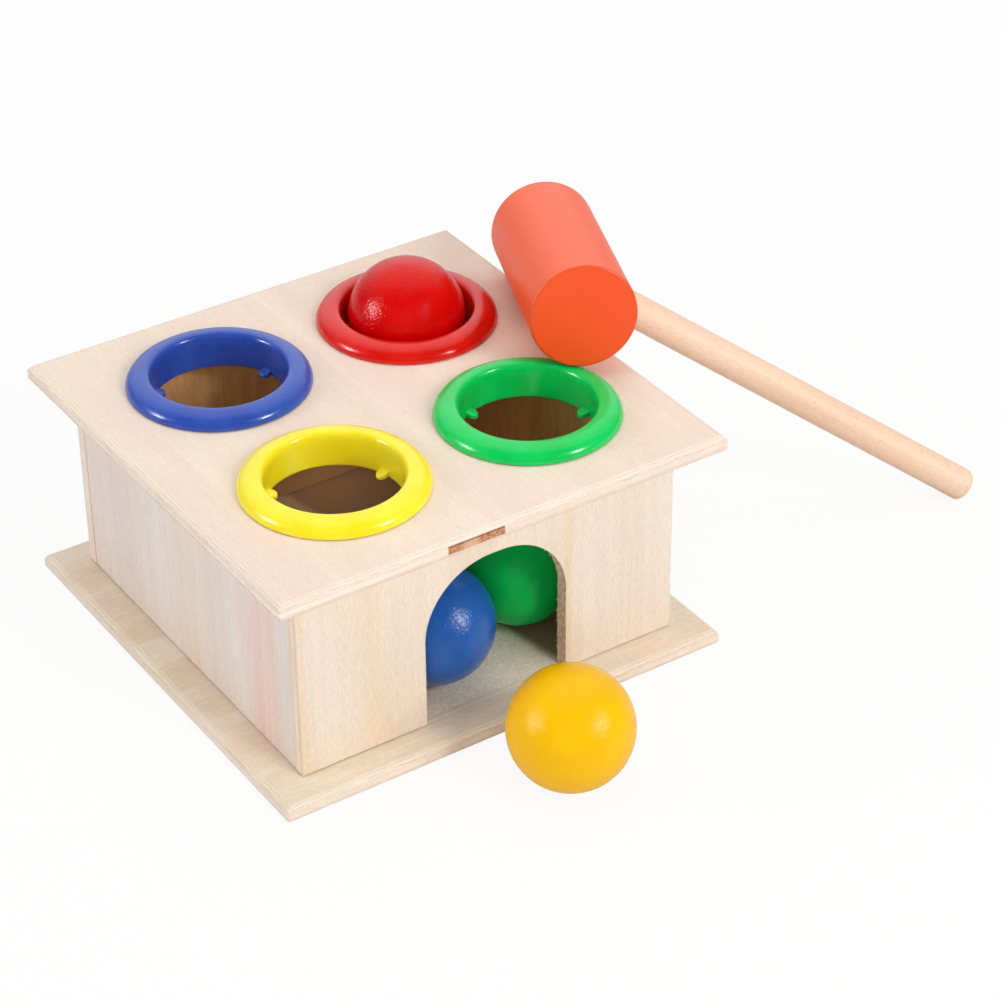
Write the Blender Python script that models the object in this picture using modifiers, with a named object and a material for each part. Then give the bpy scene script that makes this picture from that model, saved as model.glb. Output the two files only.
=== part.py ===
"""Pounding bench: a glued plywood box with four ring collars, four balls and a hammer.

Units are metres, with +Z up. The origin is the middle of the base board's underside.
X runs along the arched front and Y runs from the front to the back.
"""
import math

import bmesh
import bpy
import numpy as np
from mathutils import Euler, Vector

# Clearances between pieces
GAP = 0.0003
CUT_OVERRUN = 0.004

# Balls: the usual size, which the whole bench is made for, and two that differ a little
BALL_DIAMETER = 0.0300
RED_BALL_DIAMETER = 0.0296
YELLOW_BALL_DIAMETER = 0.0304

# Ring collars in the lid, from the ball outwards
BORE_CLEARANCE = 0.0014
SLEEVE_THICKNESS = 0.00195
SLEEVE_DROP = 0.0055
SLEEVE_END_RADIUS = 0.0005
BEAD_FLANGE = 0.0044
BEAD_HEIGHT = 0.0039
BEAD_LIP_HEIGHT = 0.0001
BEAD_CROWN_SHARE = 0.28
BEAD_INNER_POWER = 0.67
RING_SPACING_X = 0.0083
RING_SPACING_Y = 0.0086
RING_MARGIN_X = 0.0118
RING_MARGIN_Y = 0.01155
RING_SHIFT_X = 0.0007
RING_SHIFT_Y = 0.0003

# Teeth at the bottom of each collar
TEETH_PER_RING = 3
TOOTH_REACH = 0.0024
TOOTH_WIDTH = 0.0029
TOOTH_TIP_THICKNESS = 0.0010
TOOTH_ROOT_THICKNESS = 0.0021
TOOTH_LIFT = 0.0001
TOOTH_TIP_RADIUS = 0.0013
TOOTH_EDGE_RADIUS = 0.0002
TOOTH_ROOT_SHARE = 0.5
YELLOW_TOOTH_ANGLE = 14.0
GREEN_TOOTH_ANGLE = -3.5
BLUE_TOOTH_ANGLE = 16.0
RED_TOOTH_ANGLE = 30.0

# Base and lid boards; the lid is glued on a little off the middle
BASE_THICKNESS = 0.0043
LID_THICKNESS = 0.0045
LID_SHIFT_X = 0.0006
LID_SHIFT_Y = -0.0002
BOARD_CORNER_RADIUS = 0.0005
UPPER_EDGE_RADIUS = 0.0020
LOWER_EDGE_RADIUS = 0.0015

# Box of four panels, set in from the edges of the boards
LID_OVERHANG_X = 0.00905
LID_OVERHANG_Y = 0.0081
BASE_OVERHANG_X = 0.0092
BASE_OVERHANG_Y = 0.00845
BOX_HEIGHT = 0.0522
PANEL_THICKNESS = 0.0037
PANEL_EDGE_RADIUS = 0.0004

# Arched opening in the front panel, round a ball that rolls out
ARCH_SIDE_CLEARANCE = 0.0048
ARCH_TOP_CLEARANCE = 0.0124
ARCH_CROWN_WIDTH = 0.0026
ARCH_SHIFT_X = 0.0015

# Places of the loose balls: sideways from the arch's middle, and from the front
BLUE_BALL_SHIFT_X = -0.00755
BLUE_BALL_POKE = 0.00275
GREEN_BALL_SETBACK = 0.00605
FLOOR_BALLS_APART = 0.00131
YELLOW_BALL_SHIFT_X = -0.0001
YELLOW_BALL_STANDOFF = 0.0072

# Hammer
HEAD_DIAMETER = 0.0266
HEAD_LENGTH = 0.0546
HEAD_EDGE_RADIUS = 0.0006
HANDLE_DIAMETER = 0.0086
HANDLE_REACH = 0.1290
HANDLE_END_RADIUS = 0.0016
SOCKET_DEPTH_SHARE = 0.6

# Where the hammer leans: in from the lid's right edge, and behind the green collar
HEAD_INSET = 0.0025
HEAD_BEHIND_RING = 0.00815
HAMMER_TURN = -27.88
HAMMER_ROLL_LIMIT = 30.0

# Facets round the turned and rounded shapes
RING_STEPS = 44
BEAD_STEPS = 10
BALL_SEGMENTS = 32
BALL_RINGS = 16
HEAD_SEGMENTS = 56
HANDLE_SEGMENTS = 28
HOLE_SEGMENTS = 44
ARCH_SEGMENTS = 12
CORNER_SEGMENTS = 4
EDGE_SEGMENTS = 3
CONTACT_STEPS = 360
SETTLE_ROUNDS = 24

MERGE_DISTANCE = 0.00001

# Sizes that follow from the ones above, from the balls outwards
BALL_RADIUS = BALL_DIAMETER / 2
RED_BALL_RADIUS = RED_BALL_DIAMETER / 2
YELLOW_BALL_RADIUS = YELLOW_BALL_DIAMETER / 2
BORE_RADIUS = BALL_RADIUS + BORE_CLEARANCE
SLEEVE_RADIUS = BORE_RADIUS + SLEEVE_THICKNESS
RING_RADIUS = SLEEVE_RADIUS + BEAD_FLANGE
TOOTH_TIP_DISTANCE = BORE_RADIUS - TOOTH_REACH
RING_PITCH_X = 2 * RING_RADIUS + RING_SPACING_X
RING_PITCH_Y = 2 * RING_RADIUS + RING_SPACING_Y
LID_WIDTH = RING_PITCH_X + 2 * (RING_RADIUS + RING_MARGIN_X)
LID_DEPTH = RING_PITCH_Y + 2 * (RING_RADIUS + RING_MARGIN_Y)
BOX_WIDTH = LID_WIDTH - 2 * LID_OVERHANG_X
BOX_DEPTH = LID_DEPTH - 2 * LID_OVERHANG_Y
BASE_WIDTH = BOX_WIDTH + 2 * BASE_OVERHANG_X
BASE_DEPTH = BOX_DEPTH + 2 * BASE_OVERHANG_Y
FRONT_INNER_Y = PANEL_THICKNESS - BOX_DEPTH / 2
ARCH_WIDTH = BALL_DIAMETER + 2 * ARCH_SIDE_CLEARANCE
ARCH_HEIGHT = BALL_DIAMETER + ARCH_TOP_CLEARANCE
ARCH_CORNER_RADIUS = (ARCH_WIDTH - ARCH_CROWN_WIDTH) / 2
LID_UNDERSIDE = BASE_THICKNESS + BOX_HEIGHT
LID_TOP = LID_UNDERSIDE + LID_THICKNESS
FLOOR_BALL_Z = BASE_THICKNESS + GAP + BALL_RADIUS
HEAD_RADIUS = HEAD_DIAMETER / 2
HANDLE_RADIUS = HANDLE_DIAMETER / 2
SOCKET_BOTTOM = HEAD_RADIUS - HEAD_DIAMETER * SOCKET_DEPTH_SHARE
HEAD_X = LID_SHIFT_X + LID_WIDTH / 2 - HEAD_INSET
HEAD_Y = LID_SHIFT_Y + RING_SHIFT_Y - RING_PITCH_Y / 2 + RING_RADIUS + HEAD_BEHIND_RING


def clear_scene():
    for item in list(bpy.data.objects):
        bpy.data.objects.remove(item, do_unlink=True)


def make_collection(name):
    collection = bpy.data.collections.new(name)
    bpy.context.scene.collection.children.link(collection)
    return collection


def make_material(name, colour, roughness):
    """A plain material with the piece's colour and roughness; nothing here is metal."""
    material = bpy.data.materials.new(name)
    material.use_nodes = True
    shader = material.node_tree.nodes["Principled BSDF"]
    shader.inputs["Base Color"].default_value = (*colour, 1.0)
    shader.inputs["Roughness"].default_value = roughness
    shader.inputs["Metallic"].default_value = 0.0
    return material


def board_wood():
    return make_material("board_wood", (0.80, 0.68, 0.55), 0.65)


def panel_wood():
    return make_material("panel_wood", (0.82, 0.71, 0.58), 0.65)


def beech_wood():
    return make_material("beech_wood", (0.84, 0.62, 0.43), 0.55)


def orange_paint():
    return make_material("orange_paint", (0.90, 0.12, 0.03), 0.45)


def collar_plastic(name, colour):
    return make_material(name + "_plastic", colour, 0.20)


def ball_paint(name, colour):
    return make_material(name + "_paint", colour, 0.25)


def new_mesh_object(name, mesh_tool, collection):
    """An object whose mesh is filled by one of bmesh's primitive tools."""
    mesh = bpy.data.meshes.new(name)
    work = bmesh.new()
    mesh_tool(work)
    work.to_mesh(mesh)
    work.free()
    item = bpy.data.objects.new(name, mesh)
    collection.objects.link(item)
    return item


def make_box(name, width, depth, height, collection):
    """A box centred on its origin, at its real size so that bevels stay even."""
    def fill(work):
        bmesh.ops.create_cube(work, size=1.0)
        bmesh.ops.scale(work, vec=(width, depth, height), verts=work.verts)
    return new_mesh_object(name, fill, collection)


def make_cylinder(name, radius, length, segments, collection):
    """A closed cylinder along Z, centred on its origin."""
    def fill(work):
        bmesh.ops.create_cone(work, cap_ends=True, segments=segments,
                              radius1=radius, radius2=radius, depth=length)
    return new_mesh_object(name, fill, collection)


def make_empty(name, collection):
    empty = bpy.data.objects.new(name, None)
    collection.objects.link(empty)
    return empty


def as_guide(item):
    """Cutters and joined-on shapes aren't pieces of the object."""
    item.hide_render = True
    item.display_type = 'WIRE'
    return item


def finish_piece(item, material):
    item.data.materials.append(material)
    item.data.shade_smooth()
    item.data.set_sharp_from_angle(angle=math.radians(35))
    return item


def weigh_edges(item, is_chosen):
    """Give a full bevel weight to each edge whose two ends pass the test."""
    mesh = item.data
    weights = mesh.attributes.new("bevel_weight_edge", 'FLOAT', 'EDGE')
    for edge in mesh.edges:
        first = mesh.vertices[edge.vertices[0]].co
        second = mesh.vertices[edge.vertices[1]].co
        weights.data[edge.index].value = 1.0 if is_chosen(first, second) else 0.0


def round_edges(item, name, width, segments, method):
    bevel = item.modifiers.new(name, 'BEVEL')
    bevel.width = width
    bevel.segments = segments
    bevel.limit_method = method
    bevel.angle_limit = math.radians(40)
    return bevel


def cut_or_join(item, name, other, operation):
    change = item.modifiers.new(name, 'BOOLEAN')
    change.operation = operation
    change.solver = 'EXACT'
    change.object = other
    return change


def is_upright(first, second):
    return abs(first.z - second.z) > GAP and (first.xy - second.xy).length < GAP


def board_levels(thickness):
    """How far in and how high each outline of a board lies, from the bottom up."""
    levels = []
    for step in range(EDGE_SEGMENTS + 1):
        turn = math.pi / 2 * step / EDGE_SEGMENTS
        levels.append((LOWER_EDGE_RADIUS * (1 - math.sin(turn)),
                       LOWER_EDGE_RADIUS * (1 - math.cos(turn)) - thickness / 2))
    for step in range(EDGE_SEGMENTS + 1):
        turn = math.pi / 2 * step / EDGE_SEGMENTS
        levels.append((UPPER_EDGE_RADIUS * (1 - math.cos(turn)),
                       UPPER_EDGE_RADIUS * (math.sin(turn) - 1) + thickness / 2))
    return levels


def board_outline(width, depth, inset):
    """Points round a rectangle with small round corners, set in from its full size."""
    reach_x = width / 2 - BOARD_CORNER_RADIUS - inset
    reach_y = depth / 2 - BOARD_CORNER_RADIUS - inset
    points = []
    for corner, (side_x, side_y) in enumerate(((1, 1), (-1, 1), (-1, -1), (1, -1))):
        for step in range(CORNER_SEGMENTS + 1):
            turn = math.pi / 2 * (corner + step / CORNER_SEGMENTS)
            points.append((side_x * reach_x + BOARD_CORNER_RADIUS * math.cos(turn),
                           side_y * reach_y + BOARD_CORNER_RADIUS * math.sin(turn)))
    return points


def make_board(name, width, depth, thickness, collection):
    """A flat board, lofted through level outlines that round its edges off."""
    def fill(work):
        loops = []
        for inset, height in board_levels(thickness):
            outline = board_outline(width, depth, inset)
            loops.append([work.verts.new((x, y, height)) for x, y in outline])
        for lower, upper in zip(loops, loops[1:]):
            for index in range(len(lower)):
                after = (index + 1) % len(lower)
                work.faces.new((lower[index], lower[after], upper[after], upper[index]))
        work.faces.new(reversed(loops[0]))
        work.faces.new(loops[-1])
    return new_mesh_object(name, fill, collection)


def make_base(collection):
    base = make_board("base_plate", BASE_WIDTH, BASE_DEPTH, BASE_THICKNESS, collection)
    base.location.z = BASE_THICKNESS / 2
    return base


def ring_places():
    """The middle of each hole, from the lid's own middle."""
    half_x = RING_PITCH_X / 2
    half_y = RING_PITCH_Y / 2
    return {
        "yellow": (RING_SHIFT_X - half_x, RING_SHIFT_Y - half_y),
        "green": (RING_SHIFT_X + half_x, RING_SHIFT_Y - half_y),
        "blue": (RING_SHIFT_X - half_x, RING_SHIFT_Y + half_y),
        "red": (RING_SHIFT_X + half_x, RING_SHIFT_Y + half_y),
    }


def make_lid(lid_frame, collection, guides):
    """The lid, with one hole for the sleeve of each collar."""
    lid = make_board("top_plate", LID_WIDTH, LID_DEPTH, LID_THICKNESS, collection)
    lid.parent = lid_frame
    lid.location.z = -LID_THICKNESS / 2
    for colour, place in ring_places().items():
        hole = make_cylinder(colour + "_hole", SLEEVE_RADIUS + GAP,
                             LID_THICKNESS + CUT_OVERRUN, HOLE_SEGMENTS, guides)
        as_guide(hole)
        hole.parent = lid_frame
        hole.location = (*place, -LID_THICKNESS / 2)
        cut_or_join(lid, colour + "_hole", hole, 'DIFFERENCE')
    return lid


def make_panel(name, width, depth, collection):
    """A wall panel that stands on the base and carries the lid."""
    panel = make_box(name, width, depth, BOX_HEIGHT - 2 * GAP, collection)
    round_edges(panel, "arris", PANEL_EDGE_RADIUS, 2, 'ANGLE')
    panel.location.z = BASE_THICKNESS + BOX_HEIGHT / 2
    return panel


def make_arch_cutter(guides):
    """A block with two large round upper edges, run well below the panel's foot."""
    height = ARCH_HEIGHT + CUT_OVERRUN
    cutter = make_box("arch_cutter", ARCH_WIDTH, PANEL_THICKNESS + CUT_OVERRUN, height, guides)
    weigh_edges(cutter, lambda first, second: first.z > 0 and second.z > 0
                and abs(first.x - second.x) < GAP)
    round_edges(cutter, "crown", ARCH_CORNER_RADIUS, ARCH_SEGMENTS, 'WEIGHT')
    cutter.location = (ARCH_SHIFT_X, (PANEL_THICKNESS - BOX_DEPTH) / 2,
                       BASE_THICKNESS + ARCH_HEIGHT - height / 2)
    return as_guide(cutter)


def make_front(collection, guides):
    front = make_panel("front_wall", BOX_WIDTH, PANEL_THICKNESS, collection)
    front.location.y = (PANEL_THICKNESS - BOX_DEPTH) / 2
    cut_or_join(front, "arch", make_arch_cutter(guides), 'DIFFERENCE')
    return front


def make_back(collection):
    back = make_panel("back_wall", BOX_WIDTH, PANEL_THICKNESS, collection)
    back.location.y = (BOX_DEPTH - PANEL_THICKNESS) / 2
    return back


def make_side(name, side, collection):
    """A side panel, held between the front and the back one."""
    depth = BOX_DEPTH - 2 * (PANEL_THICKNESS + GAP)
    panel = make_panel(name, PANEL_THICKNESS, depth, collection)
    panel.location.x = side * (BOX_WIDTH - PANEL_THICKNESS) / 2
    return panel


def bead_point(step):
    """A point on the collar's upper side: a long curve outwards, a full one to the bore."""
    width = RING_RADIUS - BORE_RADIUS
    crown = BORE_RADIUS + width * BEAD_CROWN_SHARE
    lip = GAP + BEAD_LIP_HEIGHT
    rise = BEAD_HEIGHT - lip
    turn = math.pi * step / BEAD_STEPS
    across = abs(math.cos(turn))
    up = math.sin(turn)
    if step <= BEAD_STEPS // 2:
        return (crown + (RING_RADIUS - crown) * across, lip + rise * up)
    reach = width * BEAD_CROWN_SHARE
    return (crown - reach * across ** BEAD_INNER_POWER, lip + rise * up ** BEAD_INNER_POWER)


def sleeve_end_points():
    """The rounded lower end of the sleeve, from its outside to its inside."""
    points = []
    for middle, start in ((SLEEVE_RADIUS - SLEEVE_END_RADIUS, 0.0),
                          (BORE_RADIUS + SLEEVE_END_RADIUS, -math.pi / 2)):
        for step in range(3):
            turn = start - step * math.pi / 4
            points.append((middle + SLEEVE_END_RADIUS * math.cos(turn),
                           SLEEVE_END_RADIUS - SLEEVE_DROP + SLEEVE_END_RADIUS * math.sin(turn)))
    return points


def collar_profile():
    """Down the outer side from the crown, in under the bead, and up the bore."""
    crown = BEAD_STEPS // 2
    outer = [bead_point(step) for step in range(crown, -1, -1)]
    inner = [bead_point(step) for step in range(BEAD_STEPS, crown, -1)]
    under = [(RING_RADIUS - BEAD_LIP_HEIGHT, GAP), (SLEEVE_RADIUS, GAP)]
    return outer + under + sleeve_end_points() + inner


def make_collar_body(name, collection):
    """The collar's section turned once round Z by a Screw modifier."""
    section = [Vector((radius, 0, height)) for radius, height in collar_profile()]

    def fill(work):
        points = [work.verts.new(place) for place in section]
        for index, point in enumerate(points):
            work.edges.new((point, points[(index + 1) % len(points)]))
    collar = new_mesh_object(name, fill, collection)
    turn = collar.modifiers.new("turned", 'SCREW')
    turn.angle = math.tau
    turn.screw_offset = 0
    turn.steps = RING_STEPS
    turn.render_steps = RING_STEPS
    turn.use_merge_vertices = True
    turn.merge_threshold = MERGE_DISTANCE
    turn.use_smooth_shade = True
    return collar


def make_tooth(name, guides):
    """A tongue along +X with a round tip, thicker at the root in the sleeve's wall."""
    root = BORE_RADIUS + SLEEVE_THICKNESS * TOOTH_ROOT_SHARE
    length = root - TOOTH_TIP_DISTANCE
    tooth = make_box(name, length, TOOTH_WIDTH, TOOTH_TIP_THICKNESS, guides)
    for vertex in tooth.data.vertices:
        vertex.co.x += TOOTH_TIP_DISTANCE + length / 2
        vertex.co.z += TOOTH_TIP_THICKNESS / 2
        if vertex.co.x > BORE_RADIUS and vertex.co.z > GAP:
            vertex.co.z = TOOTH_ROOT_THICKNESS
    weigh_edges(tooth, lambda first, second: is_upright(first, second)
                and first.x < BORE_RADIUS)
    round_edges(tooth, "tip", TOOTH_TIP_RADIUS, CORNER_SEGMENTS, 'WEIGHT')
    round_edges(tooth, "edges", TOOTH_EDGE_RADIUS, 1, 'ANGLE')
    return as_guide(tooth)


def make_collar(colour, tooth_angle, rgb, lid_frame, collection, guides):
    """One collar with its three teeth, set in its hole in the lid."""
    collar = make_collar_body(colour + "_collar", collection)
    collar.parent = lid_frame
    collar.location = (*ring_places()[colour], 0)
    for index in range(TEETH_PER_RING):
        name = colour + "_tooth_" + str(index + 1)
        tooth = make_tooth(name, guides)
        tooth.parent = collar
        tooth.location.z = TOOTH_LIFT - SLEEVE_DROP
        tooth.rotation_euler.z = math.radians(tooth_angle) + math.tau * index / TEETH_PER_RING
        cut_or_join(collar, name, tooth, 'UNION')
    finish_piece(collar, collar_plastic(colour + "_collar", rgb))
    return collar


def make_ball(colour, radius, rgb, place, collection):
    def fill(work):
        bmesh.ops.create_uvsphere(work, u_segments=BALL_SEGMENTS, v_segments=BALL_RINGS,
                                  radius=radius)
    ball = new_mesh_object(colour + "_ball", fill, collection)
    ball.location = place
    finish_piece(ball, ball_paint(colour + "_ball", rgb))
    return ball


def red_ball_place():
    """Over the red collar, resting on the upper edges of its teeth."""
    ring_x, ring_y = ring_places()["red"]
    tooth_top = LID_TOP - SLEEVE_DROP + TOOTH_LIFT + TOOTH_TIP_THICKNESS
    reach = RED_BALL_RADIUS + GAP
    rise = math.sqrt(reach ** 2 - TOOTH_TIP_DISTANCE ** 2)
    return (LID_SHIFT_X + ring_x, LID_SHIFT_Y + ring_y, tooth_top + rise)


def blue_ball_place():
    """Behind the arch, its front a little way into the opening."""
    return (ARCH_SHIFT_X + BLUE_BALL_SHIFT_X,
            FRONT_INNER_Y + BALL_RADIUS - BLUE_BALL_POKE, FLOOR_BALL_Z)


def green_ball_place():
    """Behind the front panel, close beside the blue ball."""
    blue_x, blue_y, height = blue_ball_place()
    place_y = FRONT_INNER_Y + BALL_RADIUS + GREEN_BALL_SETBACK
    spacing = BALL_DIAMETER + FLOOR_BALLS_APART
    return (blue_x + math.sqrt(spacing ** 2 - (place_y - blue_y) ** 2), place_y, height)


def yellow_ball_place():
    """On the table, in front of the arch."""
    return (ARCH_SHIFT_X + YELLOW_BALL_SHIFT_X,
            -(BASE_DEPTH / 2 + YELLOW_BALL_STANDOFF + YELLOW_BALL_RADIUS),
            YELLOW_BALL_RADIUS)


def hammer_turn(dip, roll):
    """The hammer's turn for one slope of its handle and one roll of its head."""
    return Euler((roll, dip, math.radians(HAMMER_TURN)))


def head_direction(dip, roll):
    return hammer_turn(dip, roll).to_matrix() @ Vector((0, 1, 0))


def head_height(along):
    """How high the head lies on the lid's right edge.

    The shortest way from the head's axis to the middle of that rounded edge is
    the head's radius, the edge's radius and the gap.
    """
    edge_x = LID_SHIFT_X + LID_WIDTH / 2 - UPPER_EDGE_RADIUS
    edge_z = LID_TOP - UPPER_EDGE_RADIUS
    spacing = HEAD_RADIUS + UPPER_EDGE_RADIUS + GAP
    length = math.hypot(along.x, along.z)
    return edge_z + (spacing * length + (HEAD_X - edge_x) * along.z) / along.x


def handle_dip(height):
    """The slope that brings the rounded end of the handle down to the table."""
    arm = HANDLE_REACH - HANDLE_END_RADIUS
    rim = HANDLE_RADIUS - HANDLE_END_RADIUS
    drop = height - HANDLE_END_RADIUS - GAP
    return math.asin(drop / math.hypot(arm, rim)) - math.atan2(rim, arm)


def green_bead_points():
    """Points all over the rounded upper side of the green collar."""
    ring_x, ring_y = ring_places()["green"]
    points = []
    for step in range(BEAD_STEPS + 1):
        radius, height = bead_point(step)
        for index in range(CONTACT_STEPS):
            turn = math.tau * index / CONTACT_STEPS
            points.append((LID_SHIFT_X + ring_x + radius * math.cos(turn),
                           LID_SHIFT_Y + ring_y + radius * math.sin(turn),
                           LID_TOP + height))
    return np.array(points)


def near_end_gap(along, height, bead):
    """Least gap from the head to the green bead, or from its near end to the lid."""
    away = bead - np.array((HEAD_X, HEAD_Y, height))
    lengthwise = away @ np.array(along)
    outward = np.sqrt(np.maximum((away ** 2).sum(axis=1) - lengthwise ** 2, 0)) - HEAD_RADIUS
    beyond = np.abs(lengthwise) - HEAD_LENGTH / 2
    outside = np.hypot(np.maximum(outward, 0), np.maximum(beyond, 0))
    inside = np.minimum(np.maximum(outward, beyond), 0)
    lowest = height - along.z * HEAD_LENGTH / 2 - HEAD_RADIUS * math.hypot(along.x, along.y)
    return min((outside + inside).min(), lowest - LID_TOP)


def settle_hammer():
    """Slope, roll and height at which the hammer just clears its three supports."""
    bead = green_bead_points()
    dip = 0
    roll = 0
    for _ in range(SETTLE_ROUNDS):
        dip = handle_dip(head_height(head_direction(dip, roll)))
        low = -math.radians(HAMMER_ROLL_LIMIT)
        high = math.radians(HAMMER_ROLL_LIMIT)
        for _ in range(SETTLE_ROUNDS):
            roll = (low + high) / 2
            along = head_direction(dip, roll)
            if near_end_gap(along, head_height(along), bead) > GAP:
                low = roll
            else:
                high = roll
    return dip, roll, head_height(head_direction(dip, roll))


def make_hammer_frame(collection):
    """The hammer's middle: X runs down the handle and Y along the head."""
    dip, roll, height = settle_hammer()
    frame = make_empty("hammer_frame", collection)
    frame.rotation_euler = hammer_turn(dip, roll)
    frame.location = (HEAD_X, HEAD_Y, height)
    print("hammer slope and roll:", round(math.degrees(dip), 3), round(math.degrees(roll), 3))
    return frame


def make_head(frame, collection, guides):
    """A short round bar along Y with a blind socket for the handle in its side."""
    head = make_cylinder("hammer_head", HEAD_RADIUS, HEAD_LENGTH, HEAD_SEGMENTS, collection)
    head.parent = frame
    head.rotation_euler.x = math.radians(90)
    round_edges(head, "worn_edge", HEAD_EDGE_RADIUS, 2, 'ANGLE')
    mouth = HEAD_RADIUS + CUT_OVERRUN
    socket = make_cylinder("handle_socket", HANDLE_RADIUS + GAP, mouth - SOCKET_BOTTOM,
                           HANDLE_SEGMENTS, guides)
    as_guide(socket)
    socket.parent = frame
    socket.rotation_euler.y = math.radians(90)
    socket.location.x = (mouth + SOCKET_BOTTOM) / 2
    cut_or_join(head, "socket", socket, 'DIFFERENCE')
    finish_piece(head, orange_paint())
    return head


def make_handle(frame, collection):
    """The dowel, from the bottom of its socket to its rounded end."""
    start = SOCKET_BOTTOM + GAP
    length = HANDLE_REACH - start
    handle = make_cylinder("hammer_handle", HANDLE_RADIUS, length, HANDLE_SEGMENTS, collection)
    handle.parent = frame
    handle.rotation_euler.y = math.radians(90)
    handle.location.x = start + length / 2
    round_edges(handle, "rounded_ends", HANDLE_END_RADIUS, EDGE_SEGMENTS, 'ANGLE')
    finish_piece(handle, beech_wood())
    return handle


def build():
    clear_scene()
    pieces = make_collection("pounding_bench")
    guides = make_collection("cutters")
    lid_frame = make_empty("lid_frame", pieces)
    lid_frame.location = (LID_SHIFT_X, LID_SHIFT_Y, LID_TOP)

    boards = board_wood()
    finish_piece(make_base(pieces), boards)
    finish_piece(make_lid(lid_frame, pieces, guides), boards)

    panels = panel_wood()
    finish_piece(make_front(pieces, guides), panels)
    finish_piece(make_back(pieces), panels)
    finish_piece(make_side("left_wall", -1, pieces), panels)
    finish_piece(make_side("right_wall", 1, pieces), panels)

    make_collar("yellow", YELLOW_TOOTH_ANGLE, (0.92, 0.78, 0.03), lid_frame, pieces, guides)
    make_collar("green", GREEN_TOOTH_ANGLE, (0.02, 0.58, 0.12), lid_frame, pieces, guides)
    make_collar("blue", BLUE_TOOTH_ANGLE, (0.05, 0.11, 0.52), lid_frame, pieces, guides)
    make_collar("red", RED_TOOTH_ANGLE, (0.66, 0.02, 0.02), lid_frame, pieces, guides)

    make_ball("red", RED_BALL_RADIUS, (0.55, 0.01, 0.01), red_ball_place(), pieces)
    make_ball("blue", BALL_RADIUS, (0.02, 0.10, 0.48), blue_ball_place(), pieces)
    make_ball("green", BALL_RADIUS, (0.01, 0.24, 0.04), green_ball_place(), pieces)
    make_ball("yellow", YELLOW_BALL_RADIUS, (0.95, 0.58, 0.01), yellow_ball_place(), pieces)

    hammer_frame = make_hammer_frame(pieces)
    make_head(hammer_frame, pieces, guides)
    make_handle(hammer_frame, pieces)


build()
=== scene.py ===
"""Looks of the pounding bench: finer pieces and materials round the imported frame.

Every length is in metres and every piece lies where its node of the frame lies.
X runs along the arched front, Y from the front to the back, and Z up.
"""
import math

import bmesh
import bpy
import numpy as np
from mathutils import Matrix, Vector, noise


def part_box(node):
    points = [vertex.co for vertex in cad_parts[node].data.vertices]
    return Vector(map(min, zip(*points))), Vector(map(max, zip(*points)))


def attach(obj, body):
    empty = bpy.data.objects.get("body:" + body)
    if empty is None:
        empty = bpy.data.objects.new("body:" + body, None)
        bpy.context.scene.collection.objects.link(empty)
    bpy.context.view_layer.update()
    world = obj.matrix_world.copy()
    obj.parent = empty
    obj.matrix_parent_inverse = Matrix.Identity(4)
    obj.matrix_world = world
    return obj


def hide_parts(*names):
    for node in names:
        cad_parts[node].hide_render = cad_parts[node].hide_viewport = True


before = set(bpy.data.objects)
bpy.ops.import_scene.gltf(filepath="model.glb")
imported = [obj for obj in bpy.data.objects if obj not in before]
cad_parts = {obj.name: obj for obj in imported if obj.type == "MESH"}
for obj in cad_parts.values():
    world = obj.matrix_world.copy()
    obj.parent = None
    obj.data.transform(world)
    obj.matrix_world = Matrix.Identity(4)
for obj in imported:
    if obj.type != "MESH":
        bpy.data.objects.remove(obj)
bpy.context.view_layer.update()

MM = 0.001
X, Y, Z = 0, 1, 2


def mm(*lengths):
    return tuple(length * MM for length in lengths)


def linear(value):
    """An sRGB channel of 0 to 255 as linear light."""
    value /= 255
    return value / 12.92 if value <= 0.04045 else ((value + 0.055) / 1.055) ** 2.4


def tint(red, green, blue):
    """A colour given in 0 to 255, as the linear colour that a shader takes."""
    return (linear(red), linear(green), linear(blue), 1.0)


def tints(*colours):
    return tuple(tint(*colour) for colour in colours)


# Boards
BOARD_CORNER_RADIUS = 0.5 * MM
UPPER_EDGE_RADIUS = 2.0 * MM
LOWER_EDGE_RADIUS = 1.5 * MM
BOARD_CORNER_STEPS = 8
BOARD_EDGE_STEPS = 9
GLUE_LINE_HALF = 0.07 * MM
GLUE_LINE_DEPTH = 0.05 * MM
LID_EDGE_LINES = mm(0.3, 1.0, 1.9)
BASE_EDGE_LINES = mm(0.35, 1.1, 2.1)
LID_PLIES = mm(58.1, 59.5)
BASE_PLIES = mm(1.35, 2.85)
HOLE_MARGIN = 2 * MM
HOLE_STEPS = 128

# Panels
PANEL_EDGE_RADIUS = 0.2 * MM
PANEL_EDGE_STEPS = 4
PANEL_PLY = 1.0 * MM
SEAM_FILL = 0.28 * MM
ARCH_MIDDLE_X = 1.5 * MM
ARCH_HALF_WIDTH = 19.8 * MM
ARCH_CROWN_Z = 46.7 * MM
ARCH_CORNER_RADIUS = 18.5 * MM
ARCH_SPRING_Z = ARCH_CROWN_Z - ARCH_CORNER_RADIUS
ARCH_STEPS = 48

# Splinters
CHIP_CORNERS = 5
CHIP_REACH = (0.4, 1.0)
CHIP_SCATTER = 0.3
CHIP_THICKNESS = 0.35
CHIP_CROWDING = 0.9
CHIP_INSET = 0.1 * MM
ARCH_CHIP_SIZE = 0.42 * MM
ARCH_CHIPS_BACK = 0.2 * MM
ARCH_CHIPS_START = 2 * MM
ARCH_SIDE_CHIPS = 16
ARCH_CURVE_CHIPS = (0.05, 0.75, 9)
FOOT_CHIP_SIZE = 0.30 * MM
FOOT_CHIPS = 26

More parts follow.
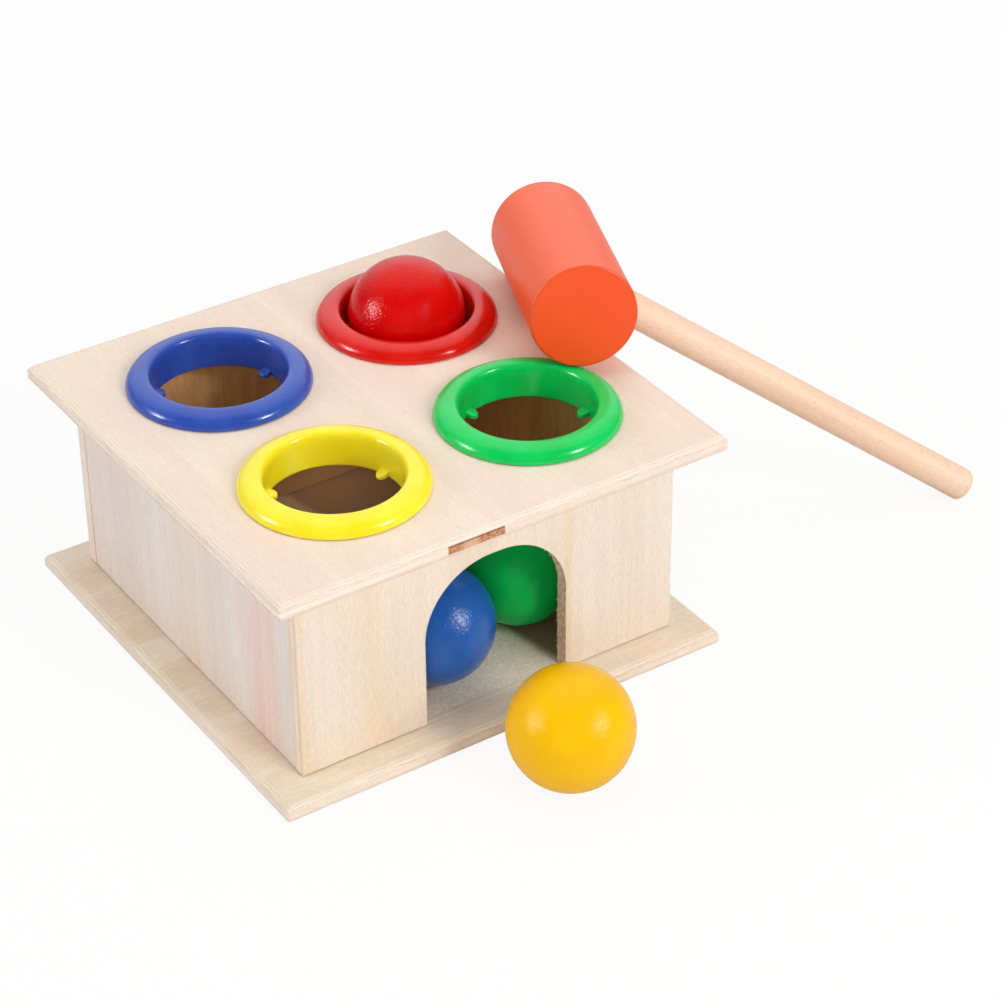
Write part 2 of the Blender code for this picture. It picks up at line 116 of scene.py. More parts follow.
# Ring collars, measured from the ring's axis and from the lid's top
LID_GAP = 0.3 * MM
BORE_RADIUS = 16.4 * MM
SLEEVE_RADIUS = 18.35 * MM
RING_RADIUS = 22.75 * MM
BEAD_HEIGHT = 3.9 * MM
BEAD_LIP = 0.1 * MM
BEAD_CROWN_SHARE = 0.28
BEAD_INNER_POWER = 0.67
BEAD_STEPS = 24
SLEEVE_DROP = 5.5 * MM
SLEEVE_LEVELS = (0.3, 0.6, 0.85)
SLEEVE_END_RADIUS = 0.5 * MM
SLEEVE_END_STEPS = 6
RING_STEPS = 160
TEETH_PER_RING = 3
TOOTH_ROOT = 17.3 * MM
TOOTH_TIP = 14.0 * MM
TOOTH_HALF_WIDTH = 1.45 * MM
TOOTH_TIP_HEIGHT = 1.0 * MM
TOOTH_ROOT_HEIGHT = 2.1 * MM
TOOTH_SLOPE_POWER = 1.4
TOOTH_END_HEIGHT, TOOTH_END_RISE = 0.45, 0.55
TOOTH_END_SHARE = 0.25
TOOTH_LEAST_WIDTH = 0.0009
TOOTH_SQUARENESS = 0.4
TOOTH_LIFT = 0.1 * MM
TOOTH_STATIONS = 14
TOOTH_SIDES = 20
TOOTH_ANGLES = {"yellow": 14.0, "green": -3.5, "blue": 16.0, "red": 30.0}

# Balls
BALL_SUBDIVISIONS = 6
BALL_SWELLS = 3.0
BALL_SWELL = 0.0016
BALL_MEAN = 0.9992
BALL_PATTERN = 900

# Hammer
HEAD_EDGE_RADIUS = 0.6 * MM
HANDLE_END_RADIUS = 1.6 * MM
SOCKET_SHARE = 0.6
SOCKET_MARGIN = 4 * MM
SOCKET_STEPS = 96
TURNED_STEPS = 144
TURNED_EDGE_STEPS = 8
TURNED_LEVELS = (-0.6, -0.2, 0.2, 0.6)
TURNED_END_RING = 0.5
TURNED_END_DEPTH = 0.02 * MM
TURNED_ROUNDS = 3
CORNER_DIGITS = 7

SHARP_ANGLE = math.radians(38)
SLIVER = 0.004 * MM

# Wood: the lengths of its features along and across the fibres, in millimetres,
# and how much each of them darkens it
TONE_SIZE = (90, 12)
DRIFT_SIZE = (60, 16)
STRIPE_SIZE = (60, 1.5)
FIBRE_SIZE = (2.0, 0.26)
PORE_SIZE = (1.1, 0.20)
STRIPE_DEPTH = 0.022
FIBRE_DEPTH = 0.062
PORE_DEPTH = 0.10
PORE_HOLLOW = 0.8

# Stretches of a noise's value over which a feature comes in, and the two shares that
# it goes between where they aren't 0 and 1
WIDELY = (0.25, 0.75)
EVENLY = (0.3, 0.7)
BY_HEIGHT = (0.3, 0.8)
BY_TONE = (0.34, 0.66)
BY_SAWING = (0.35, 0.65)
BY_RUST = (0.35, 0.68)
BY_GRIT = (0.36, 0.60)
BY_DRIFT = (0.46, 0.66, 0.0, 0.8)
BY_PORES = (0.66, 0.78)
BY_PITS = (0.62, 0.76, 0.0, 0.4)
BY_FLECKS = (0.64, 0.74, 0.0, 0.5)
BY_EDGE_BREAKS = (0.40, 0.62, 0.04, 0.42)
BY_CRACK_GAPS = (0.42, 0.60, 0.0, 0.75)
BY_VEIL = (0.64, 0.76, 0.0, 0.32)
BY_NIBS = (0.86, 0.90, 0.0, 0.6)
BY_RIM_SHADE_BREAKS = (0.40, 0.62, 0.1, 0.6)
BY_HEAD_GRIT = (0.66, 0.78, 0.0, 0.25)

# Plywood: each triple is the light, the dark and the blushing tone of one wood
LID_TINTS = tints((246, 229, 211), (241, 222, 204), (243, 221, 206))
BASE_TINTS = tints((241, 228, 208), (233, 215, 191), (237, 217, 196))
FRONT_TINTS = tints((242, 228, 214), (236, 220, 199), (239, 223, 208))
SIDE_TINTS = tints((239, 228, 220), (235, 221, 211), (238, 220, 211))
CORE_TINTS = tints((250, 236, 223), (242, 224, 209), (246, 226, 211))
BEECH_TINTS = tints((249, 216, 189), (240, 203, 172), (245, 207, 180))
FLECK_TINT = tint(196, 146, 104)
LID_CONTRAST, BASE_CONTRAST, PANEL_CONTRAST = 0.85, 1.4, 1.25
CORE_PATTERN = 31
PLY_WAVER = 0.2 * MM
PLY_BLUR = 0.05 * MM
PIT_TINT = tint(180, 144, 118)
GLUE_TINT = tint(176, 140, 116)
GLUE_SHARE, BACK_GLUE_SHARE = 0.35, 0.1
GLUE_BREAK = 0.4
GLUE_REACH = mm(0.04, 0.14)
EDGE_WAVER = 0.9 * MM
EDGE_LINE_REACH = mm(0.03, 0.16)
# Each sanding line: a dark line of painted shade, then a pale line of painted highlight
EDGE_STEP_SHADE_AND_HIGHLIGHT = ((0, tint(206, 176, 152), 0.2), (0.24 * MM, tint(255, 246, 232), 0.9))

# The reddish end of a core strip in the lid's front edge, and the crack in its left
# edge. A place is low, high and the softness of its ends, or low, high and two shares.
STRIP_X, STRIP_Z = mm(-16.7, -1.4, 0.25), mm(57.8, 59.9, 0.12)
STRIP_FACE_Y = mm(-60.8, -60.4)
RUST_TINTS = tints((166, 96, 62), (226, 174, 134))
RUST_PALE_X, RUST_PALE_SHARE, RUST_PALE_TINT = mm(-12.6, -8.6, 1.2), 0.6, tint(236, 200, 172)
RUST_LINE_Z, RUST_LINE_SHARE, RUST_LINE_TINT = mm(59.5, 59.9, 0.1), 0.7, tint(120, 66, 44)
CRACK_Z = 58.0 * MM
CRACK_WAVER = 0.5 * MM
CRACK_REACH = mm(0.03, 0.13)
CRACK_FACE_X = mm(-60.4, -60.2)
CRACK_TINT = tint(132, 98, 72)

# The base inside the box: rough, with painted warm shade towards the back, and a painted brown
# shadow on the right that grows lighter further back
INSIDE_X, INSIDE_Y = mm(-49.2, 49.2, 0.5), mm(-50.6, 50.2, 0.5)
INSIDE_SHARE = 0.95
BASE_FACE_Z = mm(4.0, 4.2)
GRIT_TINTS = tints((230, 210, 182), (255, 248, 234))
# Painted warm shade on the floor, deeper into the box
WARM_SHADE_Y, WARM_SHADE_TINT = (*mm(-26, 6), 0.0, 0.85), tint(254, 220, 172)
# Painted shadow on the floor inside, cast by the front panel right of the arch: where it
# starts, how it slants, and its dark and lighter tones
PAINTED_SHADOW_X, PAINTED_SHADOW_SLANT = mm(11.4, 14.4), 0.187
PAINTED_SHADOW_Y = (*mm(-51.5, -48.5), 0.0, 0.9)
PAINTED_SHADOW_BACK_Y = mm(-8, 12)
PAINTED_SHADOW_TINTS = tints((150, 118, 86), (206, 164, 120))
FOOT_LINE_X, FOOT_LINE_Y = mm(-18.3, 21.2, 0.1), mm(-52.25, -51.8, 0.12)
FOOT_LINE_Z = (*BASE_FACE_Z, 0.0, 0.8)
FOOT_LINE_TINT = tint(255, 246, 226)

# Panels: the sawn arch; the unsanded inner faces, browner and with painted shade, the back one
# also with painted light; painted warm bounce light at the feet; and soft upright bands
SAWN_TINTS = tints((218, 178, 134), (255, 238, 208))
SAWN_REACH = mm(0.02, 0.08)
# The inner faces: browner wood, darkened further as painted shade for the dim inside of the box
INNER_SHADED_TINTS = tints((214, 160, 104), (232, 182, 124))
INNER_LIGHT_TINT, INNER_LIGHT_SHARE = tint(250, 222, 184), 0.85
INNER_FACE_DEPTHS = mm(0.3, 0.1)
# Painted light: the back wall's inner face is paler towards its right
BACK_PAINTED_LIGHT_X, BACK_PAINTED_LIGHT_TINT = mm(-6, 6), tint(238, 188, 134)
# Painted shade: the back wall's inner face darkens towards the floor
BACK_FOOT_SHADE_Z = (*mm(4.5, 17), 0.85, 1.0)
# Painted warm bounce light from the base: every panel is warmer towards its foot
FOOT_BOUNCE_Z = (*mm(6, 30), 0.8, 0.0)
FOOT_BOUNCE_WARMTH = (1.0, 0.975, 0.945, 1.0)
PANEL_BANDS = {
    "left": ((Y, *mm(-43.5, -31.5, 2.0), (1.0, 0.88, 0.85, 1.0)),
             (Y, *mm(-56.0, -44.0, 1.2), (0.97, 0.99, 1.0, 1.0)),
             (Y, *mm(-10.0, 3.0, 4.0), (1.0, 0.975, 0.92, 1.0)),
             (Y, *mm(28.0, 40.0, 5.0), (0.97, 0.98, 1.0, 1.0))),
    "front": ((X, *mm(20.5, 23.0, 1.5), (1.0, 0.95, 0.84, 1.0)),
              (X, *mm(-53.0, -50.5, 0.6), (1.0, 0.96, 0.88, 1.0)),
              (X, *mm(-36.0, -29.0, 3.0), (1.0, 0.97, 0.91, 1.0))),
}

# Finishes: shine is the specular level, and each bump is its distance and strength
WOOD_SHINE, WOOD_ROUGHNESS, WOOD_BUMP = 0.3, (0.60, 0.74), (0.04 * MM, 0.6)
BEECH_SHINE, BEECH_ROUGHNESS, BEECH_BUMP = 0.5, (0.46, 0.6), (0.03 * MM, 0.5)

# Plastic: its colour, a deeper one and the veil of its specks
COLLAR_TINTS = {
    "yellow": tints((255, 241, 56), (254, 230, 24), (255, 248, 140)),
    "green": tints((6, 212, 98), (2, 200, 86), (110, 235, 160)),
    "blue": tints((52, 86, 182), (44, 76, 172), (140, 160, 225)),
    "red": tints((226, 22, 8), (214, 14, 5), (240, 90, 76)),
}
PLASTIC_SHINE, PLASTIC_ROUGHNESS = 0.42, (0.17, 0.26)
PLASTIC_GLOW, PLASTIC_GLOW_SCALE = 0.12, 1.6 * MM
PLASTIC_BUMP = (0.02 * MM, 0.5)

# Ball paint: its colour, a deeper one, the strength of the grain and the shine
BALL_TINTS = {
    "yellow": (tint(250, 195, 0), tint(249, 188, 0), 0.95, 0.17),
    "green": (tint(14, 194, 90), tint(10, 180, 82), 0.30, 0.12),
    "blue": (tint(34, 98, 184), tint(28, 90, 174), 0.95, 0.40),
    "red": (tint(222, 2, 2), tint(212, 0, 0), 0.90, 0.26),
}
BALL_ROUGHNESS = (0.17, 0.23)
BALL_PEEL_BUMP, BALL_FIBRE_BUMP = 0.16 * MM, 0.015 * MM
NIB_TINT = tint(60, 40, 30)

# Hammer paint: each pair is a deeper and a fuller tone
HEAD_FACE_TINTS = tints((250, 78, 10), (252, 84, 13))
# The side is paler than the faces: painted sheen from the light above
HEAD_SIDE_SHEEN_TINTS = tints((251, 91, 40), (253, 99, 48))
HEAD_FACE_REACH = mm(0.45, 0.25)
HEAD_RIM_REACH, HEAD_RIM_WIDTH = mm(0.7, 0.1), mm(1.0, 0.35)
# The darker orange on the rims of the faces is painted shade
HEAD_RIM_SHADE_TINT, HEAD_GRIT_TINT = tints((212, 84, 24), (206, 56, 22))
HEAD_SHINE, HEAD_ROUGHNESS = 0.5, (0.34, 0.42)
HEAD_FIBRE_BUMP, HEAD_GRIT_BUMP = (0.05 * MM, 0.6), (0.02 * MM, 0.5)

# Studio
FLOOR_HALF = 3.0
FLOOR_DROP = 0.05 * MM
FLOOR_GLOW = 0.90
FLOOR_SEEN = (0.93, 0.93, 0.93, 1.0)
FLOOR_GIVEN_BACK = (0.80, 0.80, 0.80, 1.0)
WHITE = (1.0, 1.0, 1.0, 1.0)
WORLD_FILL = 0.46
WORLD_SHINE = 0.02
SCREEN_SHINE = 1.7
SCREEN_WAY = (0.36, 0.61, 0.707)
SCREEN_RIM = 0.42
SCREEN_MIDDLE = 0.93
COOL, PLAIN, WARM = (0.97, 0.98, 1.0), (1.0, 1.0, 1.0), (1.0, 0.99, 0.975)
LAMPS = (  # name, place, size, power, colour, lights the toy, shows in its gloss
    ("left_softbox", (-1.30, 0.49, 0.58), 0.50, 5.2, COOL, True, True),
    ("front_softbox", (0.61, -1.15, 0.74), 0.40, 2.9, WARM, True, False),
    ("low_arch_softbox", (0.282, -1.388, 0.630), 0.30, 1.7, WARM, True, False),
    ("high_arch_softbox", (0.243, -1.197, 0.954), 0.30, 4.8, WARM, True, False),
    ("camera_softbox", (-0.75, -1.15, 0.65), 0.80, 1.9, WARM, True, False),
    ("top_softbox", (0.10, 0.05, 1.05), 1.10, 3.0, PLAIN, True, False),
    ("left_glint", (-1.30, 0.42, 0.50), 0.26, 5.5, PLAIN, False, True),
    ("front_glint", (0.61, -1.20, 0.64), 0.26, 9.5, PLAIN, False, True),
)
CAMERA_PLACE = (-0.318694, -0.541081, 0.457255)
CAMERA_RIGHT = (0.83217978, -0.55445774, -0.00730972)
CAMERA_UP = (0.31648937, 0.46410872, 0.82730742)
CAMERA_LENS, CAMERA_SENSOR = 110.816, 36.0
CAMERA_NEAR, CAMERA_FAR = 0.01, 50.0


class Nodes:
    """A node tree in which one call makes a node and sets its inputs."""

    def __init__(self, owner):
        owner.use_nodes = True
        self.tree = owner.node_tree

    def put(self, socket, value):
        if isinstance(value, bpy.types.NodeSocket):
            self.tree.links.new(value, socket)
        else:
            socket.default_value = value

    def add(self, kind, inputs=(), output=0, **settings):
        """The output of a new node whose inputs are set to values or linked."""
        node = self.tree.nodes.new(kind)
        for key, value in settings.items():
            setattr(node, key, value)
        for key, value in dict(inputs).items():
            self.put(node.inputs[key], value)
        return node.outputs[output]


class Shader(Nodes):
    """The nodes of one material, with short names for those that it uses often."""

    def __init__(self, name, turn=None):
        self.material = bpy.data.materials.new(name)
        super().__init__(self.material)
        self.surface = self.tree.nodes["Principled BSDF"]
        self.spot = self.add("ShaderNodeTexCoord", output="Object")
        if turn is not None:
            self.spot = self.moved(Rotation=turn.to_euler())

    def set(self, **values):
        """Values or links on the shader's own sockets; an underscore stands for a space."""
        for key, value in values.items():
            self.put(self.surface.inputs[key.replace("_", " ")], value)

    def moved(self, **values):
        return self.add("ShaderNodeMapping", {"Vector": self.spot, **values})

    def calc(self, operation, *values):
        return self.add("ShaderNodeMath", enumerate(values), operation=operation)

    def times(self, first, second):
        return self.calc("MULTIPLY", first, second)

    def away(self, value, middle):
        """How far the value is from the middle, on either side."""
        return self.calc("ABSOLUTE", self.calc("SUBTRACT", value, middle))

    def reach(self, first, second):
        """The length of a way whose two parts stand square to each other."""
        squares = self.calc("MULTIPLY_ADD", first, first, self.times(second, second))
        return self.calc("SQRT", squares)

    def mix(self, share, first, second, blend="MIX"):
        return self.add("ShaderNodeMix", {"Factor": share, "A": first, "B": second},
                        "Result", data_type="RGBA", blend_type=blend)

    def grey(self, value):
        return self.add("ShaderNodeCombineColor", enumerate((value, value, value)))

    def shaded(self, colour, shade):
        return self.mix(1.0, colour, self.grey(shade), "MULTIPLY")

    def noise(self, sizes, shift=(0.0, 0.0, 0.0), detail=2.0, roughness=0.5, distortion=0.0):
        """Soft noise whose features have these sizes in millimetres, or one size on all
        axes. The shift picks another part of the pattern, so that no two noises agree."""
        if isinstance(sizes, (int, float)):
            sizes = (sizes, sizes, sizes)
        scale = tuple(1 / (size * MM) for size in sizes)
        return self.add("ShaderNodeTexNoise", {
            "Vector": self.moved(Scale=scale, Location=shift), "Scale": 1.0,
            "Detail": detail, "Roughness": roughness, "Distortion": distortion})

    def span(self, value, low, high, start=0.0, end=1.0):
        """The value's way from low to high, as a way from start to end."""
        return self.add("ShaderNodeMapRange", enumerate((value, low, high, start, end)),
                        interpolation_type="SMOOTHSTEP")

    def under(self, value, low, high):
        """One under low and zero over high."""
        return self.span(value, low, high, 1.0, 0.0)

    def axis(self, index):
        return self.add("ShaderNodeSeparateXYZ", {0: self.spot}, index)

    def where(self, index, *stretch):
        """The span of the place on the axis."""
        return self.span(self.axis(index), *stretch)

    def within(self, value, low, high, soft):
        """One where the value lies between low and high, and zero outside."""
        return self.times(self.span(value, low - soft, low + soft),
                          self.under(value, high - soft, high + soft))

    def between(self, index, *stretch):
        """One where the place on the axis lies within the stretch."""
        return self.within(self.axis(index), *stretch)

    def bump(self, height, distance, strength, below=None):
        inputs = {"Height": height, "Distance": distance, "Strength": strength}
        if below is not None:
            inputs["Normal"] = below
        return self.add("ShaderNodeBump", inputs)


def along(axis, sizes):
    """Sizes of a feature that is long on one axis and narrow on the other two."""
    length, width = sizes
    return [length if index == axis else width for index in (X, Y, Z)]


def wood_layer(wood, axis, seed, tones, contrast=1.0):
    """Colour and height of one layer of wood whose fibres run along the axis."""
    tone = wood.noise(along(axis, TONE_SIZE), (seed, 1.3, 0))
    drift = wood.noise(along(axis, DRIFT_SIZE), (4, seed, 9))
    stripe = wood.noise(along(axis, STRIPE_SIZE), (seed, 4.1, 2), detail=3.0, roughness=0.6,
                        distortion=0.6)
    fibre = wood.noise(along(axis, FIBRE_SIZE), (7, seed, 1), roughness=0.7)
    pore = wood.noise(along(axis, PORE_SIZE), (2, 9, seed), detail=1.0)
    light, dark, blush = tones
    base = wood.mix(wood.span(tone, *BY_TONE), dark, light)
    base = wood.mix(wood.span(drift, *BY_DRIFT), base, blush)
    depth = STRIPE_DEPTH * contrast
    shade = wood.span(stripe, *WIDELY, 1 - depth, 1 + depth)
    depth = FIBRE_DEPTH * contrast
    shade = wood.times(shade, wood.span(fibre, *WIDELY, 1 - depth, 1 + depth))
    pores = wood.span(pore, *BY_PORES)
    shade = wood.calc("MULTIPLY_ADD", pores, -PORE_DEPTH * contrast, shade)
    height = wood.calc("MULTIPLY_ADD", pores, -PORE_HOLLOW, fibre)
    return wood.shaded(base, shade), height


def plywood(name, sheet, grains, plies, tones, seed, contrast, glue=GLUE_SHARE):
    """The shader, colour and height of three plies with thin glue lines between them.
    The grains are the axes along which the fibres of the faces and of the core run."""
    wood = Shader(name)
    waver = wood.noise(6, (seed, 0, 0), detail=3.0)
    depth = wood.calc("SUBTRACT", wood.axis(sheet), PLY_WAVER / 2)
    depth = wood.calc("MULTIPLY_ADD", waver, PLY_WAVER, depth)
    face, face_height = wood_layer(wood, grains[0], seed, tones, contrast)
    core, core_height = wood_layer(wood, grains[1], seed + CORE_PATTERN, CORE_TINTS)
    pits = wood.noise(0.38, (seed, 5, 9), roughness=0.6)
    core = wood.mix(wood.span(pits, *BY_PITS), core, PIT_TINT)
    in_core = wood.within(depth, *plies, PLY_BLUR)
    colour = wood.mix(in_core, face, core)
    breaks = wood.noise(1.7, (3, seed, 1), detail=3.0)
    for line in plies:
        near = wood.under(wood.away(depth, line), *GLUE_REACH)
        near = wood.times(near, wood.span(breaks, *EVENLY, glue * GLUE_BREAK, glue))
        colour = wood.mix(near, colour, GLUE_TINT)
    height = wood.mix(in_core, wood.grey(face_height), wood.grey(core_height))
    return wood, colour, height


def edge_lines(wood, low, high, offsets, colour, height):
    """Fine lines that the sanding of a rounded edge leaves round the whole board; each is a low
    dark line with a raised pale one beside it, whose colours are painted shade and painted
    highlight.
    """
    insets = []
    for index in (X, Y):
        away = wood.away(wood.axis(index), (low[index] + high[index]) / 2)
        insets.append(wood.calc("SUBTRACT", (high[index] - low[index]) / 2, away))
    inset = wood.calc("MINIMUM", *insets)
    waver = wood.calc("SUBTRACT", wood.noise(9, (6, 1, 4)), 0.5)
    inset = wood.calc("MULTIPLY_ADD", waver, EDGE_WAVER, inset)
    breaks = wood.noise(5, (1, 8, 3), detail=4.0, roughness=0.7)
    for offset in offsets:
        for shift, shade, level in EDGE_STEP_SHADE_AND_HIGHLIGHT:
            near = wood.under(wood.away(inset, offset + shift), *EDGE_LINE_REACH)
            near = wood.times(near, wood.span(breaks, *BY_EDGE_BREAKS))
            colour = wood.mix(near, colour, shade)
            height = wood.mix(near, height, wood.grey(level))
    return colour, height


def finish_wood(wood, colour, height, shine=WOOD_SHINE, roughness=WOOD_ROUGHNESS,
                bump=WOOD_BUMP):
    wood.set(Base_Color=colour, Specular_IOR_Level=shine)
    wood.set(Roughness=wood.span(height, *BY_HEIGHT, *roughness))
    wood.set(Normal=wood.bump(height, *bump))
    return wood.material


def lid_wood():
    """The lid, with the reddish end of a core strip that shows on its front edge."""
    wood, colour, height = plywood("lid_plywood", Z, (Y, X), LID_PLIES, LID_TINTS, 3.0,
                                   LID_CONTRAST)
    colour, height = edge_lines(wood, *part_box("top_plate"), LID_EDGE_LINES, colour, height)
    strip = wood.times(wood.between(X, *STRIP_X), wood.between(Z, *STRIP_Z))
    strip = wood.times(strip, wood.under(wood.axis(Y), *STRIP_FACE_Y))
    speck = wood.noise((0.8, 0.8, 0.35), (5, 1, 8), detail=3.0, roughness=0.7)
    rust = wood.mix(wood.span(speck, *BY_RUST), *RUST_TINTS)
    pale = wood.between(X, *RUST_PALE_X)
    rust = wood.mix(wood.times(pale, RUST_PALE_SHARE), rust, RUST_PALE_TINT)
    line = wood.between(Z, *RUST_LINE_Z)
    rust = wood.mix(wood.times(line, RUST_LINE_SHARE), rust, RUST_LINE_TINT)
    colour = wood.mix(strip, colour, rust)
    waver = wood.noise(5, (2, 2, 7), detail=3.0)
    level = wood.calc("MULTIPLY_ADD", waver, CRACK_WAVER, wood.axis(Z))
    crack = wood.under(wood.away(level, CRACK_Z), *CRACK_REACH)
    crack = wood.times(crack, wood.under(wood.axis(X), *CRACK_FACE_X))
    gaps = wood.noise(1.6, (8, 4, 1), detail=4.0, roughness=0.7)
    crack = wood.times(crack, wood.span(gaps, *BY_CRACK_GAPS))
    colour = wood.mix(crack, colour, CRACK_TINT)
    return finish_wood(wood, colour, height)


def base_wood():
    """The base, with its rough part inside the box, painted warm shade and a painted shadow of
    the front panel right of the arch on that part, and a pale line at the arch's foot.
    """
    wood, colour, height = plywood("base_plywood", Z, (X, Y), BASE_PLIES, BASE_TINTS, 17.0,
                                   BASE_CONTRAST)
    colour, height = edge_lines(wood, *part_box("base_plate"), BASE_EDGE_LINES, colour, height)
    inside = wood.times(wood.between(X, *INSIDE_X), wood.between(Y, *INSIDE_Y))
    inside = wood.times(inside, wood.where(Z, *BASE_FACE_Z))
    grit = wood.noise((0.9, 0.35, 0.35), (8, 3, 3), detail=3.0, roughness=0.85)
    rough = wood.mix(wood.span(grit, *BY_GRIT), *GRIT_TINTS)
    # Painted warm shade: the floor turns warmer towards the back of the box
    rough = wood.mix(wood.where(Y, *WARM_SHADE_Y), rough, WARM_SHADE_TINT)
    # Painted shadow of the front panel right of the arch, slanting across the floor and lighter
    # further back
    side = wood.calc("MULTIPLY_ADD", wood.axis(Y), PAINTED_SHADOW_SLANT, wood.axis(X))
    shaded_brown = wood.times(wood.span(side, *PAINTED_SHADOW_X), wood.where(Y, *PAINTED_SHADOW_Y))
    back = wood.where(Y, *PAINTED_SHADOW_BACK_Y)
    rough = wood.mix(shaded_brown, rough, wood.mix(back, *PAINTED_SHADOW_TINTS))
    colour = wood.mix(wood.times(inside, INSIDE_SHARE), colour, rough)
    line = wood.times(wood.between(Y, *FOOT_LINE_Y), wood.between(X, *FOOT_LINE_X))
    line = wood.times(line, wood.where(Z, *FOOT_LINE_Z))
    colour = wood.mix(line, colour, FOOT_LINE_TINT)
    return finish_wood(wood, colour, height)


def cut_of_arch(wood, colour):
    """The sawn face of the arch, browner than the panel."""
    beside = wood.away(wood.axis(X), ARCH_MIDDLE_X)
    beside = wood.calc("SUBTRACT", beside, ARCH_HALF_WIDTH - ARCH_CORNER_RADIUS)
    above = wood.calc("SUBTRACT", wood.axis(Z), ARCH_SPRING_Z)
    reach = wood.reach(wood.calc("MAXIMUM", beside, 0.0), wood.calc("MAXIMUM", above, 0.0))
    start, end = (ARCH_CORNER_RADIUS + beyond for beyond in SAWN_REACH)
    grain = wood.noise((1.2, 0.5, 1.6), (3, 3, 8), detail=3.0, roughness=0.7)
    sawn = wood.mix(wood.span(grain, *BY_SAWING), *SAWN_TINTS)
    return wood.mix(wood.under(reach, start, end), colour, sawn)


def panel_wood(wall, sheet, low, high, seed, tones, inner):
    """A panel with upright grain outside and a browner, unsanded face inside the box that also
    carries painted shade; the back panel's inner face has painted light towards its right and
    painted shade at its foot, and every panel has painted warm bounce light at its foot.
    """
    plies = (low + PANEL_PLY, high - PANEL_PLY)
    grains = (Z, X if sheet == Y else Y)
    glue = BACK_GLUE_SHARE if wall == "back" else GLUE_SHARE
    wood, colour, height = plywood(wall + "_plywood", sheet, grains, plies, tones, seed,
                                   PANEL_CONTRAST, glue)
    # The inner face: browner wood, darkened further as painted shade for the dim inside of the
    # box
    rough = wood.noise((2.5, 2.5, 14), (seed, 6, 2), detail=4.0, roughness=0.7)
    shaded_brown = wood.mix(wood.span(rough, *EVENLY), *INNER_SHADED_TINTS)
    if wall == "back":
        # Painted light: the back wall's inner face is paler towards its right
        shaded_brown = wood.mix(wood.where(X, *BACK_PAINTED_LIGHT_X), shaded_brown, BACK_PAINTED_LIGHT_TINT)
        # Painted shade: the back wall's inner face darkens towards the floor
        shaded_brown = wood.shaded(shaded_brown, wood.where(Z, *BACK_FOOT_SHADE_Z))
    elif inner > 0:
        shaded_brown = wood.mix(INNER_LIGHT_SHARE, shaded_brown, INNER_LIGHT_TINT)
    for axis, start, end, soft, shade in PANEL_BANDS.get(wall, ()):
        colour = wood.mix(wood.between(axis, start, end, soft), colour, shade, "MULTIPLY")
    # Painted warm bounce light from the base, warmer towards the foot
    colour = wood.mix(wood.where(Z, *FOOT_BOUNCE_Z), colour, FOOT_BOUNCE_WARMTH, "MULTIPLY")
    face = high if inner > 0 else low
    start, end = (face - inner * depth for depth in INNER_FACE_DEPTHS)
    colour = wood.mix(wood.where(sheet, start, end), colour, shaded_brown)
    if wall == "front":
        colour = cut_of_arch(wood, colour)
    return finish_wood(wood, colour, height)


def turned_beech(turn):
    """Pale beech with short dark flecks along the dowel."""
    wood = Shader("turned_beech", turn)
    colour, height = wood_layer(wood, Z, 12.0, BEECH_TINTS)
    fleck = wood.noise((0.24, 0.24, 1.8), (4, 8, 2), detail=1.0)
    colour = wood.mix(wood.span(fleck, *BY_FLECKS), colour, FLECK_TINT)
    return finish_wood(wood, colour, height, BEECH_SHINE, BEECH_ROUGHNESS, BEECH_BUMP)


def clouds(shader, size, roughness):
    """Soft clouds for two tones of a paint, over which its roughness drifts as well."""
    cloud = shader.noise(size, detail=3.0)
    shader.set(Roughness=shader.span(cloud, *EVENLY, *roughness))
    return shader.span(cloud, *EVENLY)


def moulded_plastic(name, colour, deep, veil):
    """Glossy moulded plastic with a little haze, moulding specks and light inside it."""
    shader = Shader(name)
    base = shader.mix(clouds(shader, 9, PLASTIC_ROUGHNESS), deep, colour)
    speck = shader.noise(0.42, (2, 7, 5))
    base = shader.mix(shader.span(speck, *BY_VEIL), base, veil)
    shader.set(Base_Color=base, Specular_IOR_Level=PLASTIC_SHINE)
    shader.set(Subsurface_Weight=PLASTIC_GLOW, Subsurface_Scale=PLASTIC_GLOW_SCALE,
               Subsurface_Radius=(1.0, 1.0, 1.0))
    ripple = shader.bump(shader.noise(2.4, (9, 1, 4)), *PLASTIC_BUMP)
    shader.set(Normal=shader.bump(speck, *PLASTIC_BUMP, ripple))
    return shader.material


def ball_paint(name, colour, deep, grain, shine):
    """Gloss paint on a turned ball: the wood's fibres and small nibs show in the shine."""
    shader = Shader(name)
    base = shader.mix(clouds(shader, 9, BALL_ROUGHNESS), deep, colour)
    nib = shader.noise(0.5, (4, 4, 1), detail=0.0)
    base = shader.mix(shader.span(nib, *BY_NIBS), base, NIB_TINT)
    shader.set(Base_Color=base, Specular_IOR_Level=shine)
    fibre = shader.noise((0.3, 0.3, 2.2), (1, 2, 3))
    peel = shader.noise(0.7, (6, 2, 8), roughness=0.6)
    peel = shader.bump(peel, BALL_PEEL_BUMP, grain)
    shader.set(Normal=shader.bump(fibre, BALL_FIBRE_BUMP, grain, peel))
    return shader.material


def inwards(edge, depths):
    """Places that lie these depths inside the edge."""
    return [edge - depth for depth in depths]


